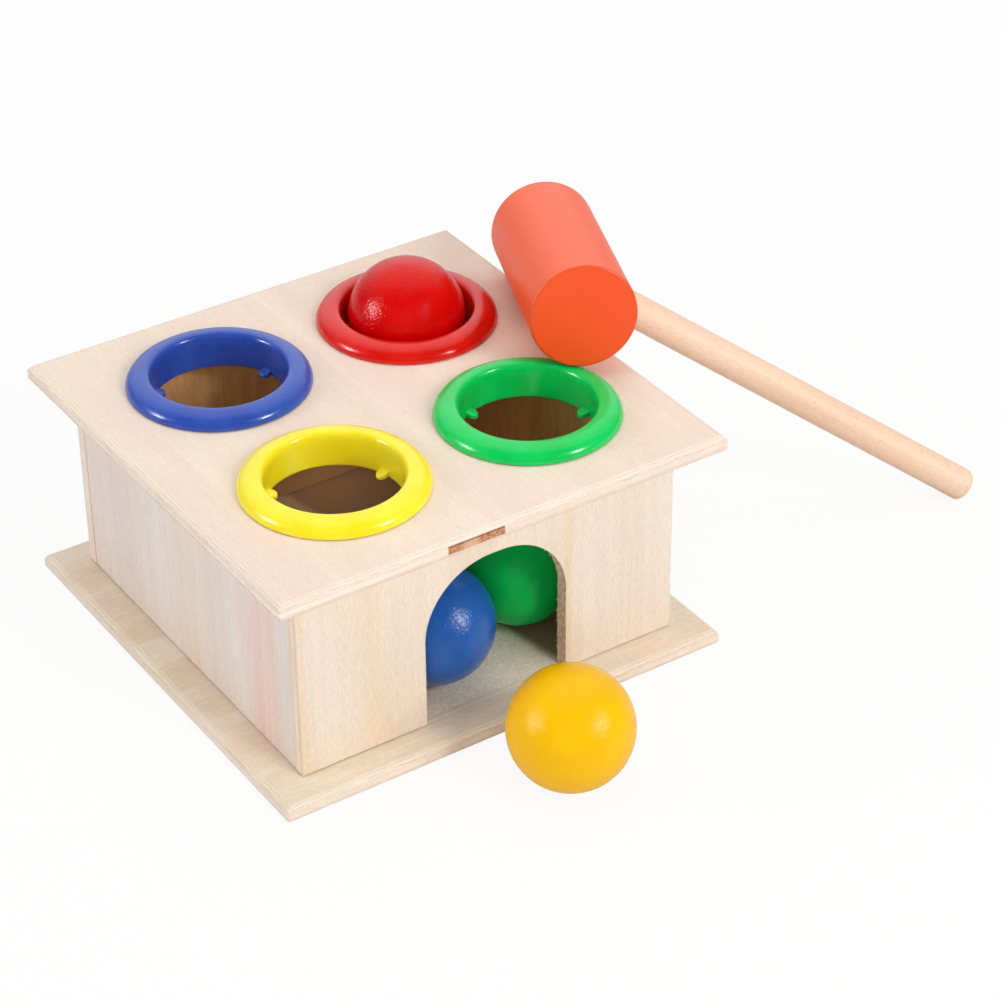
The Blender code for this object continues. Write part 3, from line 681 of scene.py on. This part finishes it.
def head_paint(turn, half_length, radius):
    """Satin orange-red paint, paler on the side as painted sheen, with painted shade as a
    darker orange on the rims of the two faces, broken up at random.
    """
    shader = Shader("hammer_paint", turn)
    cloud = clouds(shader, 7, HEAD_ROUGHNESS)
    along_axis = shader.calc("ABSOLUTE", shader.axis(Z))
    on_face = shader.span(along_axis, *inwards(half_length, HEAD_FACE_REACH))
    # The side's paler tone is painted sheen
    base = shader.mix(on_face, shader.mix(cloud, *HEAD_SIDE_SHEEN_TINTS),
                      shader.mix(cloud, *HEAD_FACE_TINTS))
    # Painted shade: a darker orange on the rims of the two faces, broken up at random
    rim = shader.span(along_axis, *inwards(half_length, HEAD_RIM_REACH))
    from_axis = shader.reach(shader.axis(X), shader.axis(Y))
    rim = shader.times(rim, shader.span(from_axis, *inwards(radius, HEAD_RIM_WIDTH)))
    rim_breaks = shader.noise(1.6, (8, 8, 2), detail=3.0, roughness=0.7)
    rim = shader.times(rim, shader.span(rim_breaks, *BY_RIM_SHADE_BREAKS))
    base = shader.mix(rim, base, HEAD_RIM_SHADE_TINT)
    grit = shader.noise(0.35, (2, 2, 6), roughness=0.7)
    base = shader.mix(shader.span(grit, *BY_HEAD_GRIT), base, HEAD_GRIT_TINT)
    shader.set(Base_Color=base, Specular_IOR_Level=HEAD_SHINE)
    fibre = shader.noise((0.3, 0.3, 3.0), (5, 1, 1), detail=3.0)
    fibre = shader.bump(fibre, *HEAD_FIBRE_BUMP)
    shader.set(Normal=shader.bump(grit, *HEAD_GRIT_BUMP, fibre))
    return shader.material


def smooth(mesh):
    """Smooth shading that breaks at the sharp edges."""
    mesh.shade_smooth()
    mesh.set_sharp_from_angle(angle=SHARP_ANGLE)


def new_mesh(name, points, faces):
    mesh = bpy.data.meshes.new(name)
    mesh.from_pydata([tuple(point) for point in points], [], faces)
    return mesh


def add_object(name, data):
    added = bpy.data.objects.new(name, data)
    bpy.context.scene.collection.objects.link(added)
    return added


def make_piece(name, body, node, slot, material, points, faces, place=Vector()):
    """A shown piece that rides on a body, and stands for one node if it names one."""
    mesh = new_mesh(name, points, faces)
    mesh.validate()
    smooth(mesh)
    mesh.materials.append(material)
    piece = add_object(name, mesh)
    piece.location = place
    bpy.context.view_layer.update()
    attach(piece, body)
    if node:
        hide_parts(node)
    return piece


def even_shading(piece):
    """Large flat faces keep their own normal beside the small faces of a rounding."""
    modifier = piece.modifiers.new("even_shading", 'WEIGHTED_NORMAL')
    modifier.weight = 100
    modifier.keep_sharp = True


def loft(rings, closed=False):
    """Points and faces of a skin over rings of equal length, with caps on open ends."""
    points = [point for ring in rings for point in ring]
    count = len(rings[0])
    pairs = list(zip(range(len(rings)), range(1, len(rings))))
    if closed:
        pairs.append((len(rings) - 1, 0))
    faces = []
    for first, second in pairs:
        for index in range(count):
            after = (index + 1) % count
            faces.append((first * count + index, first * count + after,
                          second * count + after, second * count + index))
    if not closed:
        faces.append(tuple(reversed(range(count))))
        faces.append(tuple(range((len(rings) - 1) * count, len(rings) * count)))
    return points, faces


def board_outline(low, high, inset):
    """A rectangle with small round corners, set in from its box."""
    middle_x = (low.x + high.x) / 2
    middle_y = (low.y + high.y) / 2
    reach_x = (high.x - low.x) / 2 - BOARD_CORNER_RADIUS - inset
    reach_y = (high.y - low.y) / 2 - BOARD_CORNER_RADIUS - inset
    outline = []
    for corner, (side_x, side_y) in enumerate(((1, 1), (-1, 1), (-1, -1), (1, -1))):
        for step in range(BOARD_CORNER_STEPS + 1):
            turn = math.pi / 2 * (corner + step / BOARD_CORNER_STEPS)
            outline.append((middle_x + side_x * reach_x + BOARD_CORNER_RADIUS * math.cos(turn),
                            middle_y + side_y * reach_y + BOARD_CORNER_RADIUS * math.sin(turn)))
    return outline


def rounding(steps):
    """Sines and cosines from 0 to a quarter turn."""
    turns = [math.pi / 2 * step / steps for step in range(steps + 1)]
    return [(math.sin(turn), math.cos(turn)) for turn in turns]


def sheet_levels(low, high, lower_radius, upper_radius, steps, plies):
    """Inset and height of each outline of a board or panel, from face to face: two
    rounded edges, and a fine groove at each glue line."""
    lower = [(lower_radius * (1 - sine), low + lower_radius * (1 - cosine))
             for sine, cosine in rounding(steps)]
    upper = [(upper_radius * (1 - cosine), high - upper_radius * (1 - sine))
             for sine, cosine in rounding(steps)]
    insets, heights = zip(*lower, *upper)
    grooves = []
    for line in plies:
        for height, depth in ((line - GLUE_LINE_HALF, 0), (line, GLUE_LINE_DEPTH),
                              (line + GLUE_LINE_HALF, 0)):
            grooves.append((float(np.interp(height, heights, insets)) + depth, height))
    return sorted(lower + upper + grooves, key=lambda level: level[1])


def board_mesh(low, high, plies):
    levels = sheet_levels(low.z, high.z, LOWER_EDGE_RADIUS, UPPER_EDGE_RADIUS,
                          BOARD_EDGE_STEPS, plies)
    return loft([[(x, y, height) for x, y in board_outline(low, high, inset)]
                 for inset, height in levels])


def bare_object(name, points, faces, place=Matrix()):
    """An object that is no piece of the toy: one that cuts or joins, or the floor."""
    return add_object(name, new_mesh(name, [place @ Vector(point) for point in points], faces))


def without_slivers(mesh):
    """Merges the points that a cut leaves closer together than any detail."""
    work = bmesh.new()
    work.from_mesh(mesh)
    bmesh.ops.remove_doubles(work, verts=work.verts, dist=SLIVER)
    bmesh.ops.dissolve_degenerate(work, edges=work.edges, dist=SLIVER)
    bmesh.ops.triangulate(work, faces=[face for face in work.faces if len(face.verts) > 4])
    bmesh.ops.dissolve_degenerate(work, edges=work.edges, dist=SLIVER)
    work.to_mesh(mesh)
    work.free()


def combine(piece, guides, operation):
    """Cuts the guides from the piece or joins them to it, and removes the guides."""
    for guide in guides:
        change = piece.modifiers.new(guide.name, 'BOOLEAN')
        change.operation = operation
        change.solver = 'EXACT'
        change.object = guide
    bpy.context.view_layer.update()
    graph = bpy.context.evaluated_depsgraph_get()
    result = bpy.data.meshes.new_from_object(piece.evaluated_get(graph))
    piece.modifiers.clear()
    without_slivers(result)
    piece.data = result
    smooth(result)
    for guide in guides:
        bpy.data.objects.remove(guide, do_unlink=True)


def circle_turns(count):
    """The angles of places spread evenly round a circle."""
    return [math.tau * index / count for index in range(count)]


def circle(radius, height, count, middle=(0.0, 0.0)):
    return [(middle[0] + radius * math.cos(turn), middle[1] + radius * math.sin(turn), height)
            for turn in circle_turns(count)]


def ring_middle(colour):
    low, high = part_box(colour + "_collar")
    return (low.x + high.x) / 2, (low.y + high.y) / 2


def make_chips(name, wall, spots, size, seed):
    """Small torn splinters of a wall's wood: flat wedges, each of its own shape."""
    points, faces = [], []
    chance = np.random.default_rng(seed)
    for spot in spots:
        start = len(points)
        upper, lower = start + CHIP_CORNERS, start + CHIP_CORNERS + 1
        reach = size * chance.uniform(*CHIP_REACH, 3)
        scatter = chance.uniform(-CHIP_SCATTER, CHIP_SCATTER, 3) * size
        middle = Vector(spot) + Vector(scatter)
        turn = Matrix.Rotation(chance.uniform(0, math.tau), 3, Vector(chance.normal(size=3)))
        for corner in circle_turns(CHIP_CORNERS):
            way = corner + chance.uniform(-CHIP_SCATTER, CHIP_SCATTER)
            flat = Vector((math.cos(way) * reach[0], math.sin(way) * reach[1], 0))
            points.append(middle + turn @ flat)
        for side in (1, -1):
            points.append(middle + turn @ Vector((0, 0, side * reach[2] * CHIP_THICKNESS)))
        for index in range(CHIP_CORNERS):
            after = (index + 1) % CHIP_CORNERS
            faces.append((start + index, start + after, upper))
            faces.append((start + after, start + index, lower))
    material = bpy.data.materials[wall + "_plywood"]
    piece = make_piece(name, "bench", None, "panel_wood", material, points, faces)
    piece.data.shade_flat()


def spread(count, start, end, seed):
    """Places strewn at random along a line."""
    chance = np.random.default_rng(seed)
    shares = np.sort(chance.uniform(0, 1, count) ** CHIP_CROWDING)
    return [Vector(start).lerp(Vector(end), float(share)) for share in shares]


def make_torn_edges():
    """Splinters on the back rim of the arch's cut and at the foot of the left wall."""
    low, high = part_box("front_wall")
    side = ARCH_MIDDLE_X + ARCH_HALF_WIDTH - CHIP_INSET
    back = high.y - ARCH_CHIPS_BACK
    rim = spread(ARCH_SIDE_CHIPS, (side, back, low.z + ARCH_CHIPS_START),
                 (side, back, ARCH_SPRING_Z), 3)
    reach = ARCH_CORNER_RADIUS - CHIP_INSET
    for share in np.linspace(*ARCH_CURVE_CHIPS):
        turn = math.pi / 2 * share
        rim.append(Vector((side - reach * (1 - math.cos(turn)), back,
                           ARCH_SPRING_Z + reach * math.sin(turn))))
    make_chips("arch_splinters", "front", rim, ARCH_CHIP_SIZE, 5)
    low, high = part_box("left_wall")
    face = low.x - CHIP_INSET
    foot = spread(FOOT_CHIPS, (face, low.y, low.z), (face, high.y, low.z), 8)
    make_chips("foot_splinters", "left", foot, FOOT_CHIP_SIZE, 9)


def make_boards():
    low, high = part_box("base_plate")
    base = make_piece("base_board", "bench", "base_plate", "board_wood", base_wood(),
                      *board_mesh(low, high, BASE_PLIES))
    even_shading(base)
    low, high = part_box("top_plate")
    lid = make_piece("lid_board", "bench", "top_plate", "board_wood", lid_wood(),
                     *board_mesh(low, high, LID_PLIES))
    holes = []
    for colour in TOOTH_ANGLES:
        rings = [circle(SLEEVE_RADIUS + LID_GAP, height, HOLE_STEPS, ring_middle(colour))
                 for height in (low.z - HOLE_MARGIN, high.z + HOLE_MARGIN)]
        holes.append(bare_object(colour + "_hole", *loft(rings)))
    combine(lid, holes, 'DIFFERENCE')
    even_shading(lid)


def outward(outline):
    """The way out at each point, so long that all sides move out by one."""
    ways = []
    for index, point in enumerate(outline):
        before = Vector(point) - Vector(outline[index - 1])
        after = Vector(outline[(index + 1) % len(outline)]) - Vector(point)
        first = Vector((before.y, -before.x)).normalized()
        second = Vector((after.y, -after.x)).normalized()
        ways.append((first + second) / (1 + first.dot(second)))
    return ways


def panel_mesh(outline, low, high, sheet):
    """A panel of three plies with softened edges; the outline runs anticlockwise."""
    ways = outward(outline)
    levels = sheet_levels(low, high, PANEL_EDGE_RADIUS, PANEL_EDGE_RADIUS, PANEL_EDGE_STEPS,
                          (low + PANEL_PLY, high - PANEL_PLY))
    rings = []
    for inset, depth in levels:
        flat = [Vector(point) - way * inset for point, way in zip(outline, ways)]
        rings.append([(x, depth, z) if sheet == Y else (depth, x, z) for x, z in flat])
    points, faces = loft(rings)
    if sheet == Y:
        faces = [tuple(reversed(face)) for face in faces]
    return points, faces


def front_outline(low, high):
    """The front panel's outline, with the arch cut in from below."""
    left = ARCH_MIDDLE_X - ARCH_HALF_WIDTH
    right = ARCH_MIDDLE_X + ARCH_HALF_WIDTH
    outline = [(low.x, low.z), (left, low.z)]
    for sine, cosine in rounding(ARCH_STEPS):
        outline.append((left + ARCH_CORNER_RADIUS * (1 - cosine),
                        ARCH_SPRING_Z + ARCH_CORNER_RADIUS * sine))
    for sine, cosine in rounding(ARCH_STEPS):
        outline.append((right - ARCH_CORNER_RADIUS * (1 - sine),
                        ARCH_SPRING_Z + ARCH_CORNER_RADIUS * cosine))
    return outline + [(right, low.z), (high.x, low.z), (high.x, high.z), (low.x, high.z)]


def make_panels():
    """The four walls. The last number of a plan says on which side of the panel, on the
    axis that its sheet faces, the inside of the box lies."""
    plans = (("front", Y, 5.0, FRONT_TINTS, 1), ("back", Y, 8.0, SIDE_TINTS, -1),
             ("left", X, 11.0, SIDE_TINTS, 1), ("right", X, 14.0, SIDE_TINTS, -1))
    for name, sheet, seed, tones, inner in plans:
        low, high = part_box(name + "_wall")
        across = Y if sheet == X else X
        fill = SEAM_FILL if sheet == X else 0
        outline = [(low[across] - fill, low.z), (high[across] + fill, low.z),
                   (high[across] + fill, high.z), (low[across] - fill, high.z)]
        if name == "front":
            outline = front_outline(low, high)
        material = panel_wood(name, sheet, low[sheet], high[sheet], seed, tones, inner)
        piece = make_piece(name + "_panel", "bench", name + "_wall", "panel_wood", material,
                           *panel_mesh(outline, low[sheet], high[sheet], sheet))
        even_shading(piece)


def collar_section():
    """A long curve down outwards, a full one into the bore, and the sleeve."""
    width = RING_RADIUS - BORE_RADIUS
    inward = width * BEAD_CROWN_SHARE
    crown = BORE_RADIUS + inward
    lip = LID_GAP + BEAD_LIP
    rise = BEAD_HEIGHT - lip
    section = []
    for sine, cosine in rounding(BEAD_STEPS):
        section.append((crown + (width - inward) * cosine, lip + rise * sine))
    for sine, cosine in rounding(BEAD_STEPS)[1:]:
        section.append((crown - inward * sine ** BEAD_INNER_POWER,
                        lip + rise * max(cosine, 0) ** BEAD_INNER_POWER))
    for share in SLEEVE_LEVELS:
        section.append((BORE_RADIUS, lip - (lip + SLEEVE_DROP - SLEEVE_END_RADIUS) * share))
    for side, start in ((BORE_RADIUS + SLEEVE_END_RADIUS, math.pi),
                        (SLEEVE_RADIUS - SLEEVE_END_RADIUS, 1.5 * math.pi)):
        for step in range(SLEEVE_END_STEPS + 1):
            turn = start + math.pi / 2 * step / SLEEVE_END_STEPS
            section.append((side + SLEEVE_END_RADIUS * math.cos(turn),
                            SLEEVE_END_RADIUS * (1 + math.sin(turn)) - SLEEVE_DROP))
    section.append((SLEEVE_RADIUS, LID_GAP))
    section.append((RING_RADIUS - BEAD_LIP, LID_GAP))
    return section


def collar_mesh():
    section = collar_section()
    rings = [[(radius * math.cos(turn), radius * math.sin(turn), height)
              for radius, height in section] for turn in circle_turns(RING_STEPS)]
    return loft(rings, closed=True)


def squared(value):
    """A sine or cosine that makes a circle a rounded square."""
    return math.copysign(abs(value) ** TOOTH_SQUARENESS, value)


def tooth_mesh():
    """A rounded tongue from the sleeve's wall to its tip, flat below and sloping above."""
    rings = []
    for station in range(TOOTH_STATIONS + 1):
        share = station / TOOTH_STATIONS
        distance = TOOTH_ROOT + (TOOTH_TIP - TOOTH_ROOT) * share * (2 - share)
        left = min(max(distance - TOOTH_TIP, 0) / TOOTH_HALF_WIDTH, 1)
        width = TOOTH_HALF_WIDTH * math.sqrt(max(1 - (1 - left) ** 2, TOOTH_LEAST_WIDTH))
        slope = ((distance - TOOTH_TIP) / (TOOTH_ROOT - TOOTH_TIP)) ** TOOTH_SLOPE_POWER
        height = TOOTH_TIP_HEIGHT + (TOOTH_ROOT_HEIGHT - TOOTH_TIP_HEIGHT) * slope
        rise = math.sqrt(min(left / TOOTH_END_SHARE, 1))
        height *= TOOTH_END_HEIGHT + TOOTH_END_RISE * rise
        ring = []
        for way in circle_turns(TOOTH_SIDES):
            up = squared(math.sin(way)) * height / 2
            ring.append((distance, squared(math.cos(way)) * width,
                         TOOTH_LIFT - SLEEVE_DROP + height / 2 + up))
        rings.append(ring)
    points, faces = loft(rings)
    return points, [tuple(reversed(face)) for face in faces]


def make_collars():
    lid_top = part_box("top_plate")[1].z
    for colour, angle in TOOTH_ANGLES.items():
        place = Vector((*ring_middle(colour), lid_top))
        material = moulded_plastic(colour + "_plastic", *COLLAR_TINTS[colour])
        collar = make_piece(colour + "_ring", "bench", colour + "_collar",
                            colour + "_collar_plastic", material, *collar_mesh(), place)
        teeth = []
        for turn in circle_turns(TEETH_PER_RING):
            turned = Matrix.Rotation(math.radians(angle) + turn, 4, 'Z')
            seat = Matrix.Translation(place) @ turned
            teeth.append(bare_object(colour + "_tooth", *tooth_mesh(), seat))
        combine(collar, teeth, 'UNION')


def make_balls():
    """Balls that are slightly uneven, as turned wood is."""
    for colour, (paint, deep, grain, shine) in BALL_TINTS.items():
        low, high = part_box(colour + "_ball")
        radius = (high.z - low.z) / 2
        pattern = Vector((radius * BALL_PATTERN, 1, 2))
        work = bmesh.new()
        bmesh.ops.create_icosphere(work, subdivisions=BALL_SUBDIVISIONS, radius=radius)
        for vertex in work.verts:
            way = vertex.co.normalized()
            swell = noise.noise(way * BALL_SWELLS + pattern)
            vertex.co = way * (radius * (BALL_MEAN + BALL_SWELL * swell))
        points = [vertex.co.copy() for vertex in work.verts]
        faces = [tuple(vertex.index for vertex in face.verts) for face in work.faces]
        work.free()
        material = ball_paint(colour + "_gloss_paint", paint, deep, grain, shine)
        make_piece(colour + "_wooden_ball", colour + "_ball", colour + "_ball",
                   colour + "_ball_paint", material, points, faces, (low + high) / 2)


def corners_of(node):
    return np.array([tuple(vertex.co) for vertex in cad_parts[node].data.vertices])


def turned_line(node, guess, axis):
    """The end middles of a turned node, in their order on the axis, and its radius, from
    its own corners. The guess finds roughly the way that it lies."""
    corners = np.unique(np.round(corners_of(node), CORNER_DIGITS), axis=0)
    way = np.array(guess(node), float)
    for _ in range(TURNED_ROUNDS):
        run = corners @ way
        far = corners[run > run.max() - TURNED_END_DEPTH].mean(axis=0)
        near = corners[run < run.min() + TURNED_END_DEPTH].mean(axis=0)
        way = (far - near) / np.linalg.norm(far - near)
    away = corners - near
    run = away @ way
    radius = np.sqrt(np.maximum((away ** 2).sum(axis=1) - run ** 2, 0)).max()
    ends = sorted((Vector(near), Vector(far)), key=lambda end: end[axis])
    return *ends, float(radius)


def long_way(node):
    """The way in which the node is longest."""
    corners = corners_of(node)
    return np.linalg.svd(corners - corners.mean(axis=0), full_matrices=False)[2][0]


def flat_way(node):
    """The way that most of the node's surface looks, which is that of its flat ends."""
    totals = {}
    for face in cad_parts[node].data.polygons:
        way = face.normal if tuple(face.normal) > (0, 0, 0) else -face.normal
        key = tuple(round(value, 3) for value in way)
        totals[key] = totals.get(key, 0) + face.area
    return Vector(max(totals, key=totals.get)).normalized()


def turned_section(radius, half_length, edge):
    """Radius and height of a bar round Z, from its lower face to its upper one."""
    lower = [(radius * TURNED_END_RING, -half_length)]
    for sine, cosine in rounding(TURNED_EDGE_STEPS):
        lower.append((radius - edge + edge * sine, edge * (1 - cosine) - half_length))
    middle = [(radius, half_length * share) for share in TURNED_LEVELS]
    return lower + middle + [(wide, -height) for wide, height in reversed(lower)]


def turned_mesh(radius, half_length, edge, turn):
    """A bar with rounded rims, turned from Z to where it lies."""
    section = turned_section(radius, half_length, edge)
    points, faces = loft([circle(wide, height, TURNED_STEPS) for wide, height in section])
    return [turn @ Vector(point) for point in points], faces


def lying(near, far, side):
    """The turn whose Z runs from near to far and whose X points to the side."""
    up = (far - near).normalized()
    across = (side - up * side.dot(up)).normalized()
    return Matrix((across, up.cross(across), up)).transposed()


def make_hammer():
    """The head with its blind socket, and the handle, from the ends of their nodes."""
    grip_low, grip_high, grip_radius = turned_line("hammer_handle", long_way, Z)
    head_near, head_far, head_radius = turned_line("hammer_head", flat_way, Y)
    turn = lying(head_near, head_far, grip_low - grip_high)
    half = (head_far - head_near).length / 2
    middle = (head_near + head_far) / 2
    material = head_paint(turn.transposed(), half, head_radius)
    head = make_piece("hammer_head_turned", "hammer", "hammer_head", "orange_paint", material,
                      *turned_mesh(head_radius, half, HEAD_EDGE_RADIUS, turn), middle)
    rings = [circle(grip_radius + LID_GAP, height, SOCKET_STEPS)
             for height in (head_radius * (1 - 2 * SOCKET_SHARE), head_radius + SOCKET_MARGIN)]
    place = Matrix.Translation(middle) @ turn.to_4x4() @ Matrix.Rotation(math.pi / 2, 4, 'Y')
    combine(head, [bare_object("socket", *loft(rings), place)], 'DIFFERENCE')
    even_shading(head)
    turn = lying(grip_low, grip_high, Vector((1, 0, 0)))
    half = (grip_high - grip_low).length / 2
    handle = make_piece("hammer_dowel", "hammer", "hammer_handle", "beech_wood",
                        turned_beech(turn.transposed()),
                        *turned_mesh(grip_radius, half, HANDLE_END_RADIUS, turn),
                        (grip_low + grip_high) / 2)
    even_shading(handle)


def floor_material():
    """White for the camera but for a faint shadow, and pale grey for the light it returns."""
    material = bpy.data.materials.new("pale_floor")
    nodes = Nodes(material)
    nodes.tree.nodes.remove(nodes.tree.nodes["Principled BSDF"])
    seen = nodes.add("ShaderNodeBsdfDiffuse", {"Color": FLOOR_SEEN})
    glow = nodes.add("ShaderNodeEmission", {"Strength": 1.0})
    white = nodes.add("ShaderNodeMixShader", {0: FLOOR_GLOW, 1: seen, 2: glow})
    back = nodes.add("ShaderNodeBsdfDiffuse", {"Color": FLOOR_GIVEN_BACK})
    to_camera = nodes.add("ShaderNodeLightPath", output="Is Camera Ray")
    either = nodes.add("ShaderNodeMixShader", {0: to_camera, 1: back, 2: white})
    nodes.put(nodes.tree.nodes["Material Output"].inputs["Surface"], either)
    return material


def make_floor():
    half = FLOOR_HALF
    points = [(-half, -half, 0), (half, -half, 0), (half, half, 0), (-half, half, 0)]
    floor = bare_object("studio_floor", points, [(0, 1, 2, 3)])
    floor.location.z = -FLOOR_DROP
    floor.data.materials.append(floor_material())


def make_world():
    """White to the camera, an even fill on the toy, and in its gloss a soft screen that
    hangs behind the toy and above it."""
    world = bpy.data.worlds.new("studio")
    bpy.context.scene.world = world
    nodes = Nodes(world)
    way = nodes.add("ShaderNodeTexCoord", output="Generated")
    facing = nodes.add("ShaderNodeVectorMath", {0: way, 1: SCREEN_WAY}, "Value",
                       operation='DOT_PRODUCT')
    screen = nodes.add("ShaderNodeMapRange", {
        "Value": facing, "From Min": SCREEN_RIM, "From Max": SCREEN_MIDDLE,
        "To Min": WORLD_SHINE, "To Max": SCREEN_SHINE})
    in_gloss = nodes.add("ShaderNodeLightPath", output="Is Glossy Ray")
    light = nodes.add("ShaderNodeMix", {"Factor": in_gloss, "A": WORLD_FILL, "B": screen},
                      "Result")
    to_camera = nodes.add("ShaderNodeLightPath", output="Is Camera Ray")
    white = nodes.add("ShaderNodeMix", {"Factor": to_camera, "A": light, "B": 1.0}, "Result")
    background = nodes.tree.nodes["Background"]
    background.inputs["Color"].default_value = WHITE
    nodes.put(background.inputs["Strength"], white)


def make_lamps():
    """Soft boxes that light the toy, and two lamps that only show in its gloss."""
    for name, place, size, power, colour, lights, shines in LAMPS:
        data = bpy.data.lights.new(name, 'AREA')
        data.shape = 'DISK'
        data.size = size
        data.energy = power
        data.color = colour
        lamp = add_object(name, data)
        lamp.location = place
        lamp.rotation_mode = 'QUATERNION'
        lamp.rotation_quaternion = (-Vector(place)).to_track_quat('-Z', 'Y')
        lamp.visible_diffuse = lights
        lamp.visible_glossy = shines


def make_camera():
    data = bpy.data.cameras.new("camera")
    data.sensor_width = CAMERA_SENSOR
    data.lens = CAMERA_LENS
    data.clip_start = CAMERA_NEAR
    data.clip_end = CAMERA_FAR
    camera = add_object("camera", data)
    right, up = Vector(CAMERA_RIGHT), Vector(CAMERA_UP)
    turn = Matrix((right, up, right.cross(up))).transposed().to_4x4()
    camera.matrix_world = Matrix.Translation(CAMERA_PLACE) @ turn
    bpy.context.scene.camera = camera


bpy.context.scene.view_settings.view_transform = 'Standard'
make_boards()
make_panels()
make_torn_edges()
make_collars()
make_balls()
make_hammer()
make_floor()
make_world()
make_lamps()
make_camera()
